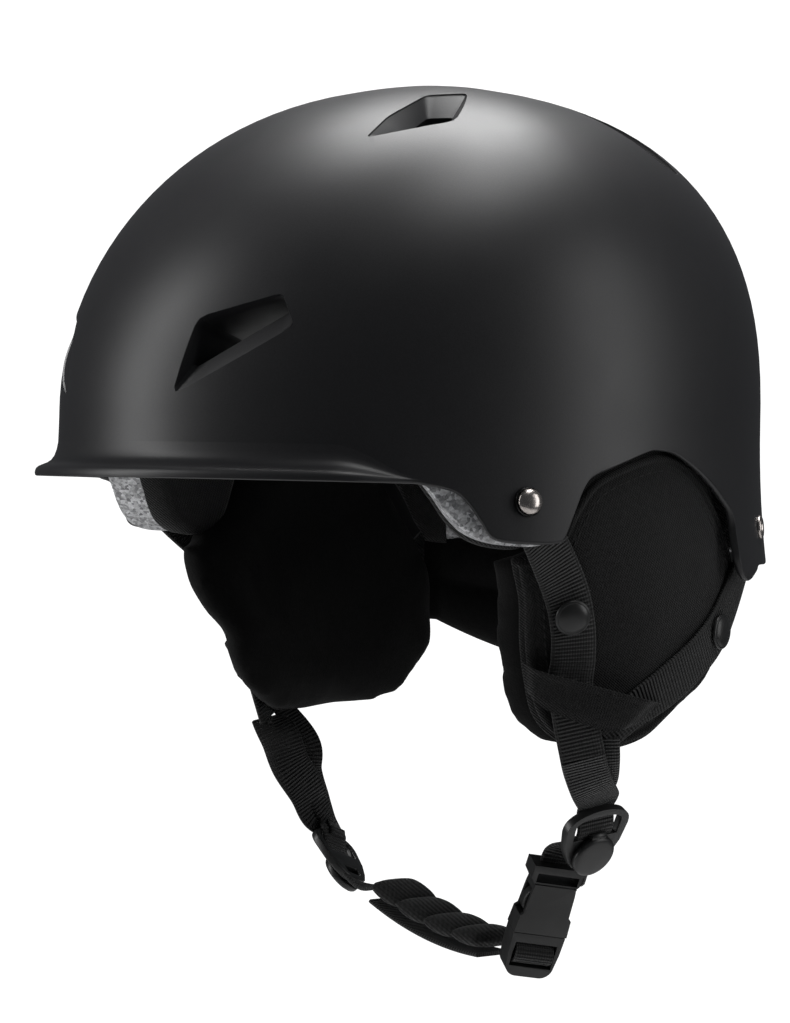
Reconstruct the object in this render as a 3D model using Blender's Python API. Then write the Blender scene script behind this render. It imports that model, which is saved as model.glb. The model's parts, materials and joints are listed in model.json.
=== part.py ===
"""Hard-shell sports helmet with ear pads, Y-straps, a side-release buckle and a rear fit dial.

The wearer looks along -Y, the wearer's left is +X and up is +Z.  The origin is the centre of the
head opening, level with the lower edge of the brim.  All sizes below are millimetres; meshes are
written in metres.
"""

import math

import bmesh
import bpy
from mathutils import Matrix, Vector

MM = 0.001
GAP = 0.3
LEFT, RIGHT = 1, -1
SIDE_NAMES = {LEFT: "left", RIGHT: "right"}

# Outer shell: a dome on a superellipse plan, over a skirt that flares slightly
HALF_WIDTH = 110.2
FRONT_REACH = 128.5
BACK_REACH = 132.4
CROWN_HEIGHT = 135.2
EQUATOR = 20.8
PLAN_POWER = 1.95
FRONT_POWER, SIDE_POWER, BACK_POWER = 1.88, 2.42, 2.61
SKIRT_FLARE = 0.028
SHELL_THICKNESS = 2.5
BRIM_REACH = 7.2
BRIM_RISE = 10.0
BRIM_END = 53.0
# (degrees from the front, height) along one half of the lower edge
SHELL_EDGE = (
    (0, -2.2), (46, -2.2), (53, -2.8), (57.7, -4.8), (60.1, -8.8), (62.1, -14.2), (64.5, -19.4), (71.4, -20.5),
    (75.1, -20.1), (76.6, -18.2), (78.7, -9.8), (80.3, -3.3), (82.2, 0.9), (86.2, 4.0), (94.6, 9.6),
    (97.7, 10.1), (102.2, 9.0), (109.6, 2.9), (116, -4.3), (120.2, -10.5), (121.4, -19.3), (122.1, -26.1),
    (123.8, -31), (126.6, -32.5), (131, -30), (136, -27.5), (158, -28.5), (180, -29),
)
COLUMN_STEP = 7.6
RISE_STEPS = (76, 63, 51, 40, 30, 20, 10)

# Foam liner
LINER_GAP = 0.4
LINER_THICKNESS = 21.0
LINER_EDGE = (
    (0, 4), (42, 4), (50, 0), (54, -7), (57, -14), (60.5, -19.5), (66, -22.5), (73, -22.5), (77, -17),
    (80, -2), (83, 14), (88, 25), (97, 28.5), (108, 23), (116, 13), (121, 7), (126, -4), (131, -20),
    (137, -25), (180, -25),
)

# Vents: corners as (degrees from the front, degrees of rise on the dome), for the left side
VENTS = {
    "brow": ((14.5, 3.1), (17.1, 14.9), (29.8, 17.6), (32.2, 13.0)),
    "crown": ((43.5, 50.4), (49.5, 64.5), (66.0, 64.0), (57.5, 52.8)),
    "rear": ((137.0, 66.0), (122.0, 65.0), (125.0, 46.0), (131.5, 43.5)),
}
VENT_OUT, VENT_IN = 1.15, 0.62
LINER_VENT_GROWTH = 1.14

# Strap anchors on the skirt: (degrees from the front, height)
FRONT_ANCHOR = (69.8, -7.1)
REAR_ANCHOR = (136.3, -14.4)
RIVET_RADIUS = 4.1
COLLAR_RADIUS = 5.3
SHANK_RADIUS = 1.8
SHANK_HOLE = 2.2
SLOT_DEPTH = 10.0
STRAP_SUNK = 4.9
EYELET_RADIUS = 4.0
EYELET_BORE = 1.2

# Webbing; the rear strap lies over the front one by the time both leave the ear pad
WEB_WIDTH = 15.0
WEB_THICKNESS = 1.5
STRAP_OVERLAP = 2.3
STRAP_SPACING = 3.3

# Ear pads
PAD_INSET = 4.6
PAD_FOOT_DEPTH = 86.0
PAD_FOOT_X = 93.0
PAD_WRAP_FRONT, PAD_WRAP_REAR = 40.0, 150.0
PAD_WRAP_CENTRE = 28.0
PANEL_THICKNESS = 3.0
CUSHION_THICKNESS = 17.0
CUSHION_REAR = 15.0
# (y, z) outline of the ear panel, clockwise from its top
PANEL_OUTLINE = (
    (18, 20), (34, 16.5), (47, 8), (55, -4), (61, -15), (66, -26), (69, -37), (66, -50), (56, -62),
    (46, -71), (36, -78.5), (26, -85), (12, -88.5), (-2, -86), (-10.5, -78), (-16, -66), (-20.5, -54),
    (-25, -40), (-30, -30), (-31, -26), (-22, -24.5), (-17.5, -10), (-11, 8), (2, 17.5),
)
PANEL_MIDDLE = (21.0, -36.0)
POCKET_DEPTH = 5.0
POCKET_THICKNESS = 1.0

# Harness hardware
SNAP_RADIUS = 6.0
SNAP_RISE = 2.4
SWING_AXIS_Z = -88.0
DIVIDER_PLACE = {LEFT: Vector((68.5, 26.0, -119.5)), RIGHT: Vector((-69.5, 26.0, -142.0))}
DIVIDER_WIDTH = 26.0
DIVIDER_LENGTH = 24.0
DIVIDER_THICKNESS = 3.0
LEVER_RADIUS = 8.2
BUCKLE_TOP = Vector((52.0, 26.0, -130.5))
BUCKLE_AXIS = Vector((-0.40, 0.0, -0.917)).normalized()
BUCKLE_ACROSS = Vector((0.34, 0.93, -0.15))
BUCKLE_WIDTH = 19.6
BUCKLE_THICKNESS = 8.4
FEMALE_LENGTH = 26.0
MALE_LENGTH = 17.0
CHIN_PAD_ENDS = (Vector((22.5, 26.0, -160.5)), Vector((-39.5, 26.0, -148.0)))
CHIN_PAD_SAG = 3.0
CHIN_PAD_WIDTH = 22.0
CHIN_PAD_THICKNESS = 7.0

# Rear fit system
DIAL_CENTRE = Vector((0.0, 112.0, -45.0))
PINION_PITCH_RADIUS = 4.0
PINION_TEETH = 8
RACK_LENGTH = 46.0
RACK_HEIGHT = 3.2
RACK_THICKNESS = 2.0
KNOB_RADIUS = 12.5
BAND_THICKNESS = 1.5
BAND_HEIGHT = 8.0
# (degrees from the front, height, depth inside the shell's surface) from the rack to the liner
BAND_STOPS = ((159, -37, 23.5), (151, -33, 19.5), (145, -25, 18.8), (141, -15, 18.8), (138, -6, 18.8))
BAND_GROOVE_DEPTH = 16.5


# ---------------------------------------------------------------- materials

def material(name, colour, roughness, metallic=0.0):
    made = bpy.data.materials.get(name) or bpy.data.materials.new(name)
    made.use_nodes = True
    shader = made.node_tree.nodes["Principled BSDF"]
    shader.inputs["Base Color"].default_value = (*colour, 1.0)
    shader.inputs["Roughness"].default_value = roughness
    shader.inputs["Metallic"].default_value = metallic
    return made


def palette():
    return {
        "shell": material("shell_plastic", (0.030, 0.030, 0.032), 0.45),
        "foam": material("liner_foam", (0.060, 0.060, 0.062), 0.85),
        "nickel": material("nickel", (0.62, 0.58, 0.56), 0.25, 1.0),
        "collar": material("dark_metal", (0.05, 0.05, 0.05), 0.4, 1.0),
        "knit": material("knit_fabric", (0.014, 0.014, 0.015), 0.9),
        "fleece": material("fleece", (0.011, 0.011, 0.012), 0.95),
        "webbing": material("webbing", (0.013, 0.013, 0.014), 0.75),
        "hardware": material("hardware_plastic", (0.018, 0.018, 0.019), 0.4),
    }


# ---------------------------------------------------------------- mesh tools

def loft(rings, start=None, end=None):
    """Vertices and faces of a skin over closed rings; start and end are tip points or None."""
    count = len(rings[0])
    points = [point for ring in rings for point in ring]
    faces = []
    for row in range(len(rings) - 1):
        for i in range(count):
            j = (i + 1) % count
            faces.append((row * count + i, row * count + j, (row + 1) * count + j, (row + 1) * count + i))
    for tip, first in ((start, 0), (end, (len(rings) - 1) * count)):
        if tip is None:
            faces.append(tuple(range(first, first + count)))
            continue
        points.append(tip)
        faces += [(first + i, first + (i + 1) % count, len(points) - 1) for i in range(count)]
    return points, faces


def centre_of(ring):
    return sum(ring, Vector()) / len(ring)


def solid(name, skin, finish, smooth=35.0):
    """One closed object from millimetre points; its faces are turned outwards."""
    points, faces = skin
    mesh = bpy.data.meshes.new(name)
    build = bmesh.new()
    made = [build.verts.new(Vector(point) * MM) for point in points]
    for face in faces:
        build.faces.new([made[i] for i in face])
    bmesh.ops.recalc_face_normals(build, faces=build.faces)
    build.to_mesh(mesh)
    build.free()
    mesh.shade_smooth()
    mesh.set_sharp_from_angle(angle=math.radians(smooth))
    mesh.materials.append(finish)
    item = bpy.data.objects.new(name, mesh)
    bpy.context.collection.objects.link(item)
    return item


def cutter(name, skin):
    item = solid(name, skin, None)
    item.data.materials.clear()
    item.hide_render = True
    item.display_type = "WIRE"
    return item


def cut(item, *tools, operation="DIFFERENCE"):
    for tool in tools:
        change = item.modifiers.new(tool.name, "BOOLEAN")
        change.operation = operation
        change.object = tool


def circle(centre, normal, radius, count):
    across = normal.orthogonal().normalized()
    other = normal.cross(across).normalized()
    steps = [math.tau * i / count for i in range(count)]
    return [centre + radius * (math.cos(t) * across + math.sin(t) * other) for t in steps]


def turned(centre, axis, profile, count=20, bore=False):
    """Skin of a turned piece; profile holds (radius, distance along axis) from one end to the other."""
    axis = axis.normalized()
    rings = [circle(centre + axis * along, axis, radius, count) for radius, along in profile if radius > 0]
    if bore:
        points, faces = loft(rings)
        faces = faces[:-2]
        last = (len(rings) - 1) * count
        faces += [(last + i, last + (i + 1) % count, (i + 1) % count, i) for i in range(count)]
        return points, faces
    tips = [centre + axis * profile[k][1] if profile[k][0] == 0 else None for k in (0, -1)]
    return loft(rings, *tips)


def frame_of(axis, across):
    """Matrix whose columns are a part's length, width and thickness directions."""
    axis = axis.normalized()
    across = (across - across.dot(axis) * axis).normalized()
    return Matrix((axis, across, axis.cross(across))).transposed()


def block(origin, frame, low, high):
    """Skin of a box between two corners given in a part's own directions."""
    corners = []
    for x in (low[0], high[0]):
        ring = [(x, low[1], low[2]), (x, high[1], low[2]), (x, high[1], high[2]), (x, low[1], high[2])]
        corners.append([origin + frame @ Vector(point) for point in ring])
    return loft(corners)


def plate(origin, frame, outline, low, high):
    """Skin of a plate; outline lies in the first two directions and the thickness in the third."""
    rings = [[origin + frame @ Vector((u, v, w)) for u, v in outline] for w in (low, high)]
    return loft(rings)


def under(pivot, *items):
    """Parent items to a pivot and give them its origin, so that they turn or slide from it."""
    for item in items:
        item.data.transform(Matrix.Translation(-pivot.location))
        item.parent = pivot


def pivot_at(name, place):
    empty = bpy.data.objects.new(name, None)
    empty.location = place * MM
    empty.empty_display_size = 10 * MM
    bpy.context.collection.objects.link(empty)
    return empty


# ---------------------------------------------------------------- dome

def smooth_step(value):
    value = min(max(value, 0.0), 1.0)
    return value * value * (3 - 2 * value)


def follow(path, angle):
    """Height of an edge path at an angle, with straight runs between its points."""
    angle = abs(angle)
    for (a, low), (b, high) in zip(path, path[1:]):
        if angle <= b:
            return low + (high - low) * (angle - a) / (b - a)
    return path[-1][1]


def dome_point(angle, level, inset=0.0):
    """Dome point; level is degrees of rise, or millimetres below the equator when negative."""
    turn = math.radians(angle)
    across, along = math.sin(turn), -math.cos(turn)
    reach = (FRONT_REACH if along < 0 else BACK_REACH) - inset
    half = HALF_WIDTH - inset
    plan = (abs(across / half) ** PLAN_POWER + abs(along / reach) ** PLAN_POWER) ** (-1 / PLAN_POWER)
    if level < 0:
        plan *= 1 + SKIRT_FLARE * (level / 50) ** 2
        return Vector((plan * across, plan * along, EQUATOR + level))
    end_power = FRONT_POWER if along < 0 else BACK_POWER
    power = SIDE_POWER + (end_power - SIDE_POWER) * along ** 2
    out = plan * math.cos(math.radians(level)) ** (2 / power)
    up = (CROWN_HEIGHT - inset - EQUATOR) * math.sin(math.radians(level)) ** (2 / power)
    return Vector((out * across, out * along, EQUATOR + up))


def skirt_point(angle, height, inset=0.0):
    return dome_point(angle, min(height - EQUATOR, -1e-6), inset)


def columns():
    """Angles of the grid's columns, from the front to the back and round the other side."""
    half = [0.0]
    for (a, _), (b, _) in zip(SHELL_EDGE, SHELL_EDGE[1:]):
        parts = max(1, math.ceil((b - a) / COLUMN_STEP))
        half += [a + (b - a) * (k + 1) / parts for k in range(parts)]
    return half + [360 - angle for angle in half[-2:0:-1]]


def column_angle(index, angles, rise):
    """Columns follow the edge on the skirt and spread out evenly towards the crown."""
    even = 360 * index / len(angles)
    return angles[index] + (even - angles[index]) * smooth_step(rise / 60)


def signed(angle):
    return angle if angle <= 180 else angle - 360


def dome_rings(angles, inset):
    """Rings of the dome above the equator, from the crown down."""
    return [[dome_point(column_angle(i, angles, rise), rise, inset) for i in range(len(angles))]
            for rise in RISE_STEPS + (0,)]


def skirt_ring(angles, path, inset, share):
    """Ring part of the way from the equator to an edge path."""
    ring = []
    for angle in angles:
        low = follow(path, signed(angle))
        ring.append(skirt_point(angle, EQUATOR + (low - EQUATOR) * share, inset))
    return ring


def brim_weight(angle):
    return smooth_step((BRIM_END - abs(signed(angle))) / 14)


def brim_ring(angles, reach, rise, edge_rise):
    """Ring of the brim's section; where the brim fades out it becomes the skirt's plain edge."""
    ring = []
    for angle in angles:
        weight = brim_weight(angle)
        low = follow(SHELL_EDGE, signed(angle))
        ring.append(skirt_point(angle, low + edge_rise + rise * weight, -reach * weight))
    return ring


def shell_skin():
    angles = columns()
    top = Vector((0, 0, CROWN_HEIGHT))
    rings = dome_rings(angles, 0)
    rings.append(skirt_ring(angles, SHELL_EDGE, 0, 0.5))
    rings.append(brim_ring(angles, 0, BRIM_RISE, 1.0))
    rings.append(brim_ring(angles, 0.36 * BRIM_REACH, 0.36 * BRIM_RISE, 0.7))
    rings.append(brim_ring(angles, BRIM_REACH, 1.9, 0.4))
    rings.append(brim_ring(angles, 0.97 * BRIM_REACH, 0, 0.0))
    inner = []
    for angle in angles:
        weight = brim_weight(angle)
        low = follow(SHELL_EDGE, signed(angle))
        inner.append(skirt_point(angle, low + 3.5 * weight, SHELL_THICKNESS))
    rings.append(inner)
    rings.append(skirt_ring(angles, SHELL_EDGE, SHELL_THICKNESS, 0.5))
    rings += dome_rings(angles, SHELL_THICKNESS)[::-1]
    return loft(rings, top, top - Vector((0, 0, SHELL_THICKNESS)))


def liner_skin():
    angles = columns()
    outside = SHELL_THICKNESS + LINER_GAP
    inside = outside + LINER_THICKNESS
    top = Vector((0, 0, CROWN_HEIGHT))
    rings = dome_rings(angles, outside)
    rings.append(skirt_ring(angles, LINER_EDGE, outside, 0.5))
    rings.append(skirt_ring(angles, LINER_EDGE, outside, 1.0))
    rings.append(skirt_ring(angles, LINER_EDGE, inside - 4, 1.0))
    rings.append(skirt_ring(angles, LINER_EDGE, inside, 0.8))
    rings += dome_rings(angles, inside)[::-2]
    return loft(rings, top - Vector((0, 0, outside)), top - Vector((0, 0, inside)))


def vent_cutter(name, corners, side, growth=1.0, samples=3):
    """Tapering plug along lines to the dome's centre, through a vent's outline."""
    centre = Vector((0, 0, EQUATOR))
    outline = []
    for (a, low), (b, high) in zip(corners, corners[1:] + corners[:1]):
        for k in range(samples):
            share = k / samples
            point = dome_point(a + (b - a) * share, low + (high - low) * share)
            outline.append(Vector((side * point.x, point.y, point.z)))
    middle = centre_of(outline)
    outline = [middle + (point - middle) * growth for point in outline]
    rings = [[centre + (point - centre) * reach for point in outline] for reach in (VENT_OUT, VENT_IN)]
    return cutter(name, loft(rings, centre_of(rings[0]), centre_of(rings[1])))


def anchor_frame(anchor, side):
    """Point and outward direction of a strap anchor on the shell's surface."""
    angle, height = anchor
    place = skirt_point(angle, height)
    ahead = skirt_point(angle + 0.5, height) - skirt_point(angle - 0.5, height)
    upwards = skirt_point(angle, height + 1) - skirt_point(angle, height - 1)
    outwards = ahead.cross(upwards).normalized()
    if outwards.dot(place) < 0:
        outwards.negate()
    place.x *= side
    outwards.x *= side
    return place, outwards


# ---------------------------------------------------------------- shell, liner and anchors

def build_shell(finish):
    shell = solid("outer_shell", shell_skin(), finish["shell"])
    liner = solid("eps_liner", liner_skin(), finish["foam"])
    for side, word in SIDE_NAMES.items():
        for vent, corners in VENTS.items():
            cut(shell, vent_cutter(f"cut_{vent}_{word}", corners, side))
            cut(liner, vent_cutter(f"cut_{vent}_liner_{word}", corners, side, LINER_VENT_GROWTH))
        for end, anchor in (("front", FRONT_ANCHOR), ("rear", REAR_ANCHOR)):
            place, outwards = anchor_frame(anchor, side)
            hole = turned(place - outwards * 6, outwards, [(SHANK_HOLE, 0), (SHANK_HOLE, 9)], 12)
            cut(shell, cutter(f"cut_{end}_hole_{word}", hole))
            down = strap_direction(end, side, outwards)
            slot = block(place, frame_of(down, outwards.cross(down)), (-12, -10, -SLOT_DEPTH), (42, 10, 6))
            cut(liner, cutter(f"cut_{end}_slot_{word}", slot))
        cut(liner, band_groove(side, word))
    return shell, liner


def band_groove(side, word):
    """Groove in the liner's inner face that holds the end of the fit band."""
    path = []
    for angle, height in ((150, -36), (146, -28), (141, -15), (136.5, -2)):
        path.append([skirt_point(angle, height, depth) for depth in (BAND_GROOVE_DEPTH, 30)])
    rings = []
    for k, (outer, inner) in enumerate(path):
        along = path[min(k + 1, 3)][0] - path[max(k - 1, 0)][0]
        half = along.cross(outer - inner).normalized() * (BAND_HEIGHT / 2 + 1.5)
        ring = [outer - half, outer + half, inner + half, inner - half]
        rings.append([Vector((side * point.x, point.y, point.z)) for point in ring])
    return cutter(f"cut_band_groove_{word}", loft(rings))


def strap_direction(end, side, outwards):
    """Direction in which a strap leaves its anchor, down along the inside of the skirt."""
    aim = Vector((0, {"front": 0.62, "rear": -0.50}[end], -0.80))
    return (aim - aim.dot(outwards) * outwards).normalized()


def build_anchors(finish):
    for side, word in SIDE_NAMES.items():
        place, out = anchor_frame(FRONT_ANCHOR, side)
        collar = [(COLLAR_RADIUS, 0.35), (COLLAR_RADIUS, 0.9), (COLLAR_RADIUS - 0.6, 1.3),
                  (SHANK_HOLE, 1.3), (SHANK_HOLE, 0.35)]
        solid(f"front_rivet_collar_{word}", turned(place, out, collar, 14, bore=True), finish["collar"])
        head = [(0, -8.5), (3.4, -8.5), (3.4, -7.6), (SHANK_RADIUS, -7.4), (SHANK_RADIUS, 1.6),
                (RIVET_RADIUS, 1.6), (RIVET_RADIUS - 0.2, 2.3), (RIVET_RADIUS * 0.8, 3.1),
                (RIVET_RADIUS * 0.45, 3.6), (0, 3.75)]
        solid(f"front_rivet_{word}", turned(place, out, head, 14), finish["nickel"])
        washer = [(5.5, -7.1), (5.5, -6.2), (SHANK_HOLE, -6.2), (SHANK_HOLE, -7.1)]
        solid(f"front_washer_{word}", turned(place, out, washer, 12, bore=True), finish["nickel"])
        place, out = anchor_frame(REAR_ANCHOR, side)
        eyelet = [(EYELET_RADIUS, 0.35), (EYELET_RADIUS, 0.8), (EYELET_RADIUS - 0.7, 1.3), (2.2, 1.1),
                  (EYELET_BORE, 0.2), (EYELET_BORE, -8.5), (3.4, -8.5), (3.4, -7.6),
                  (SHANK_RADIUS, -7.4), (SHANK_RADIUS, 0.35)]
        solid(f"rear_eyelet_{word}", turned(place, out, eyelet, 14, bore=True), finish["nickel"])
        solid(f"rear_washer_{word}", turned(place, out, washer, 12, bore=True), finish["nickel"])


# ---------------------------------------------------------------- comfort padding and fit system

def lining_patch(name, span, heights, depth, thickness, finish, steps=(12, 4)):
    """Curved pad on the liner's inner face, with its edges drawn in."""
    rows, rings = steps[1], []
    for k in range(steps[0] + 1):
        angle = span[0] + (span[1] - span[0]) * k / steps[0]
        taper = min(1.0, 0.45 + 1.6 * min(k, steps[0] - k) / steps[0] * 2)
        middle, half = sum(heights) / 2, (heights[1] - heights[0]) / 2 * taper
        front, back = [], []
        for j in range(rows + 1):
            level = middle + half * (2 * j / rows - 1)
            lift = thickness * (0.55 + 0.45 * math.sin(math.pi * j / rows)) * (0.7 + 0.3 * taper)
            back.append(dome_point(angle, level, depth))
            front.append(dome_point(angle, level, depth + lift))
        rings.append(back + front[::-1])
    return solid(name, loft(rings, centre_of(rings[0]), centre_of(rings[-1])), finish)


def build_padding(finish):
    depth = SHELL_THICKNESS + LINER_GAP + LINER_THICKNESS + 2.6
    knit = finish["knit"]
    lining_patch("brow_pad", (-56, 56), (-13, 9), depth, 6.0, knit, (16, 4))
    for side, word in SIDE_NAMES.items():
        lining_patch(f"side_pad_{word}", (side * 70, side * 112), (10, 30), depth, 6.0, knit, (8, 4))
        lining_patch(f"crown_side_pad_{word}", (side * 74, side * 106), (42, 58), depth, 5.0, knit, (6, 3))
    lining_patch("rear_pad", (160, 200), (2, 26), depth, 6.0, knit, (8, 4))
    top = Vector((0, 0, CROWN_HEIGHT - depth - 1.6))
    profile = [(0, 0), (14, -0.4), (27, -3.4), (28, -6.2), (24, -8.6), (0, -8.6)]
    solid("crown_pad", turned(top, Vector((0, 0, 1)), profile, 24), knit)


def build_nape_pad(finish):
    """Padded collar behind the head, between the ear pads."""
    rings, steps = [], 16
    for k in range(steps + 1):
        angle = 137 + 86 * k / steps
        away = abs(angle - 180) / 43
        depth = 34 - 10.5 * away ** 2 - 5 * away ** 6
        low, high = -72 + 14 * away ** 2, -27 - 1.5 * away
        fat = 6.5 * (1 - 0.55 * away ** 4)
        outer = [skirt_point(angle, height, depth) for height in (high, (low + high) / 2, low)]
        levels = (low + 2, low + 14, high - 12, high - 2)
        inner = [skirt_point(angle, height, depth + fat * share)
                 for height, share in zip(levels, (0.7, 1, 1, 0.7))]
        rings.append(outer + inner)
    solid("nape_pad", loft(rings, centre_of(rings[0]), centre_of(rings[-1])), finish["fleece"])


def rack_skin(side):
    """Toothed bar: the left one runs above the pinion, the right one below it."""
    up = side
    start, end = -10.0, RACK_LENGTH - 10.0
    root = PINION_PITCH_RADIUS + 0.85
    pitch = math.tau * PINION_PITCH_RADIUS / PINION_TEETH
    outline = [(start, root + RACK_HEIGHT), (start, root)]
    for k in range(-2, 6):
        middle = k * pitch
        outline += [(middle - 0.6, root), (middle - 0.3, root - 1.25), (middle + 0.3, root - 1.25),
                    (middle + 0.6, root)]
    outline += [(end, root), (end, root + RACK_HEIGHT)]
    frame = Matrix(((side, 0, 0), (0, 0, 1), (0, up, 0)))
    half = RACK_THICKNESS / 2
    return plate(DIAL_CENTRE, frame, outline, -half - 1.0, half - 1.0)


def pinion_skin():
    outline = []
    for tooth in range(PINION_TEETH):
        middle = math.tau * (tooth + 0.5) / PINION_TEETH
        for radius, half in ((3.25, 0.62), (4.55, 0.3), (4.55, -0.3), (3.25, -0.62)):
            angle = middle - half / radius
            outline.append((radius * math.cos(angle), radius * math.sin(angle)))
    bore = [(1.9 * math.cos(math.atan2(z, x)), 1.9 * math.sin(math.atan2(z, x))) for x, z in outline]
    frame = Matrix(((1, 0, 0), (0, 0, 1), (0, 1, 0)))
    levels = ((outline, -2.4), (outline, 0.4), (bore, 0.4), (bore, -2.4))
    rings = [[DIAL_CENTRE + frame @ Vector((u, v, w)) for u, v in ring] for ring, w in levels]
    points, faces = loft(rings)
    faces = faces[:-2]
    count = len(outline)
    faces += [(3 * count + i, 3 * count + (i + 1) % count, (i + 1) % count, i) for i in range(count)]
    return points, faces


def knob_skin():
    """Grip wheel behind the housing with its spindle through the pinion."""
    count = 24
    profile = ((1.6, -3.6), (1.6, 2.6), (7.0, 2.6), (7.4, 3.4), (KNOB_RADIUS, 3.6), (KNOB_RADIUS, 8.6),
               (KNOB_RADIUS - 1.6, 10.0), (4.0, 9.2))
    rings = []
    for radius, along in profile:
        ring = []
        for i in range(count):
            notch = 0.9 if radius == KNOB_RADIUS and i % 2 else 0.0
            turn = math.tau * (i + 0.5) / count
            ring.append(DIAL_CENTRE + Vector(((radius - notch) * math.cos(turn), along,
                                              (radius - notch) * math.sin(turn))))
        rings.append(ring)
    return loft(rings, centre_of(rings[0]), centre_of(rings[-1]))


def housing_outline(grow=0.0):
    """Rounded bar outline of the dial housing, (x, z)."""
    outline = []
    for turn in range(0, 360, 15):
        angle = math.radians(turn)
        x = (29 + grow) * abs(math.cos(angle)) ** 0.45 * math.copysign(1, math.cos(angle))
        z = (13 + grow) * abs(math.sin(angle)) ** 0.6 * math.copysign(1, math.sin(angle))
        outline.append((x, z))
    return outline


def build_dial(finish):
    plain = finish["hardware"]
    frame = Matrix(((1, 0, 0), (0, 0, 1), (0, 1, 0)))
    housing = solid("dial_housing", plate(DIAL_CENTRE, frame, housing_outline(), -3.8, 2.2), plain)
    hollow = plate(DIAL_CENTRE, frame, housing_outline(-1.8), -5.0, 0.8)
    cut(housing, cutter("cut_housing_hollow", hollow))
    slot_top = PINION_PITCH_RADIUS + 0.85 + RACK_HEIGHT + 0.5
    slot = block(DIAL_CENTRE, Matrix.Identity(3), (-40, -5.0, -slot_top), (40, 0.6, slot_top))
    cut(housing, cutter("cut_housing_slots", slot))
    hole = turned(DIAL_CENTRE, Vector((0, 1, 0)), [(2.0, -1), (2.0, 4)], 16)
    cut(housing, cutter("cut_housing_hole", hole))
    solid("dial_backplate", plate(DIAL_CENTRE, frame, housing_outline(), -5.6, -4.1), plain)
    pivot = pivot_at("dial_axis", DIAL_CENTRE)
    under(pivot, solid("dial_knob", knob_skin(), plain), solid("dial_pinion", pinion_skin(), plain))
    for side, word in SIDE_NAMES.items():
        slide = pivot_at(f"rack_{word}_start", DIAL_CENTRE)
        under(slide, solid(f"fit_rack_{word}", rack_skin(side), plain))
        solid(f"fit_band_{word}", band_skin(side), plain)
    hanger = [Vector((0, y, z)) for y, z in ((106.4, -9), (106.0, -24), (105.2, -31), (105.0, -43))]
    solid("dial_hanger", ribbon(hanger, Vector((0, 1, 0)), 16.0, 1.4), plain)


def band_skin(side):
    """Curved band from the rack's end, round the side of the head, to the temple."""
    level = DIAL_CENTRE.z + side * (PINION_PITCH_RADIUS + 0.85 + RACK_HEIGHT / 2)
    points = [Vector((side * (RACK_LENGTH - 9.0), DIAL_CENTRE.y - 1.0, level))]
    for angle, height, depth in BAND_STOPS:
        place = skirt_point(angle, height, depth)
        points.append(Vector((side * place.x, place.y, place.z)))
    path = smooth_path(points, 4)
    rings = []
    for k, point in enumerate(path):
        along = (path[min(k + 1, len(path) - 1)] - path[max(k - 1, 0)]).normalized()
        out = Vector((0, 0, 1)).cross(along).normalized()
        tall = along.cross(out).normalized()
        grown = min(1.0, k / 6)
        height = RACK_HEIGHT + (BAND_HEIGHT - RACK_HEIGHT) * grown
        half, thick = height / 2 * tall, BAND_THICKNESS / 2 * out
        rings.append([point - half - thick, point + half - thick, point + half + thick,
                      point - half + thick])
    return loft(rings)


# ---------------------------------------------------------------- ear pads

def plan_x(y, inset):
    reach = (FRONT_REACH if y < 0 else BACK_REACH) - inset
    return (HALF_WIDTH - inset) * (1 - abs(y / reach) ** PLAN_POWER) ** (1 / PLAN_POWER)


def pad_x(y, z, depth=0.0):
    """Distance from the middle plane of the ear panel's outer face, moved inwards by depth."""
    share = min(max(-z / PAD_FOOT_DEPTH, 0.0), 1.3)
    share = share ** 1.35
    top = plan_x(y, PAD_INSET)
    wrap = PAD_WRAP_FRONT if y < PAD_WRAP_CENTRE else PAD_WRAP_REAR
    foot = PAD_FOOT_X - (y - PAD_WRAP_CENTRE) ** 2 / (2 * wrap)
    return top + (foot - top) * share - depth


def pad_point(side, y, z, depth=0.0):
    """Point on the ear pad, pushed inwards along the pad face's normal."""
    x = pad_x(y, z)
    slope_y = (pad_x(y + 1, z) - pad_x(y - 1, z)) / 2
    slope_z = (pad_x(y, z + 1) - pad_x(y, z - 1)) / 2
    normal = Vector((1, -slope_y, -slope_z)).normalized()
    point = Vector((x, y, z)) - normal * depth
    point.x *= side
    return point


def pad_normal(side, y, z):
    return (pad_point(side, y, z) - pad_point(side, y, z, 1.0)).normalized()


def smooth_path(points, parts, closed=False):
    """Catmull-Rom curve through points, with so many parts between each two."""
    count = len(points)
    path = []
    for i in range(count if closed else count - 1):
        if closed:
            p0, p1, p2, p3 = (points[(i + k) % count] for k in (-1, 0, 1, 2))
        else:
            p0, p1, p2, p3 = (points[min(max(i + k, 0), count - 1)] for k in (-1, 0, 1, 2))
        for k in range(parts):
            t = k / parts
            path.append(0.5 * (2 * p1 + (p2 - p0) * t + (2 * p0 - 5 * p1 + 4 * p2 - p3) * t ** 2
                               + (3 * p1 - p0 - 3 * p2 + p3) * t ** 3))
    if not closed:
        path.append(points[-1])
    return path


def pad_ring(side, scale, depth):
    """Panel outline drawn in about its centre and sunk to a depth below the pad's face."""
    middle = Vector((*PANEL_MIDDLE, 0.0))
    ring = []
    for y, z in PANEL_OUTLINE:
        place = middle + (Vector((y, z, 0)) - middle) * scale
        ring.append(pad_point(side, place.x, place.y, depth))
    return ring


def pad_middle(side, depth):
    return pad_point(side, *PANEL_MIDDLE, depth)


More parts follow.
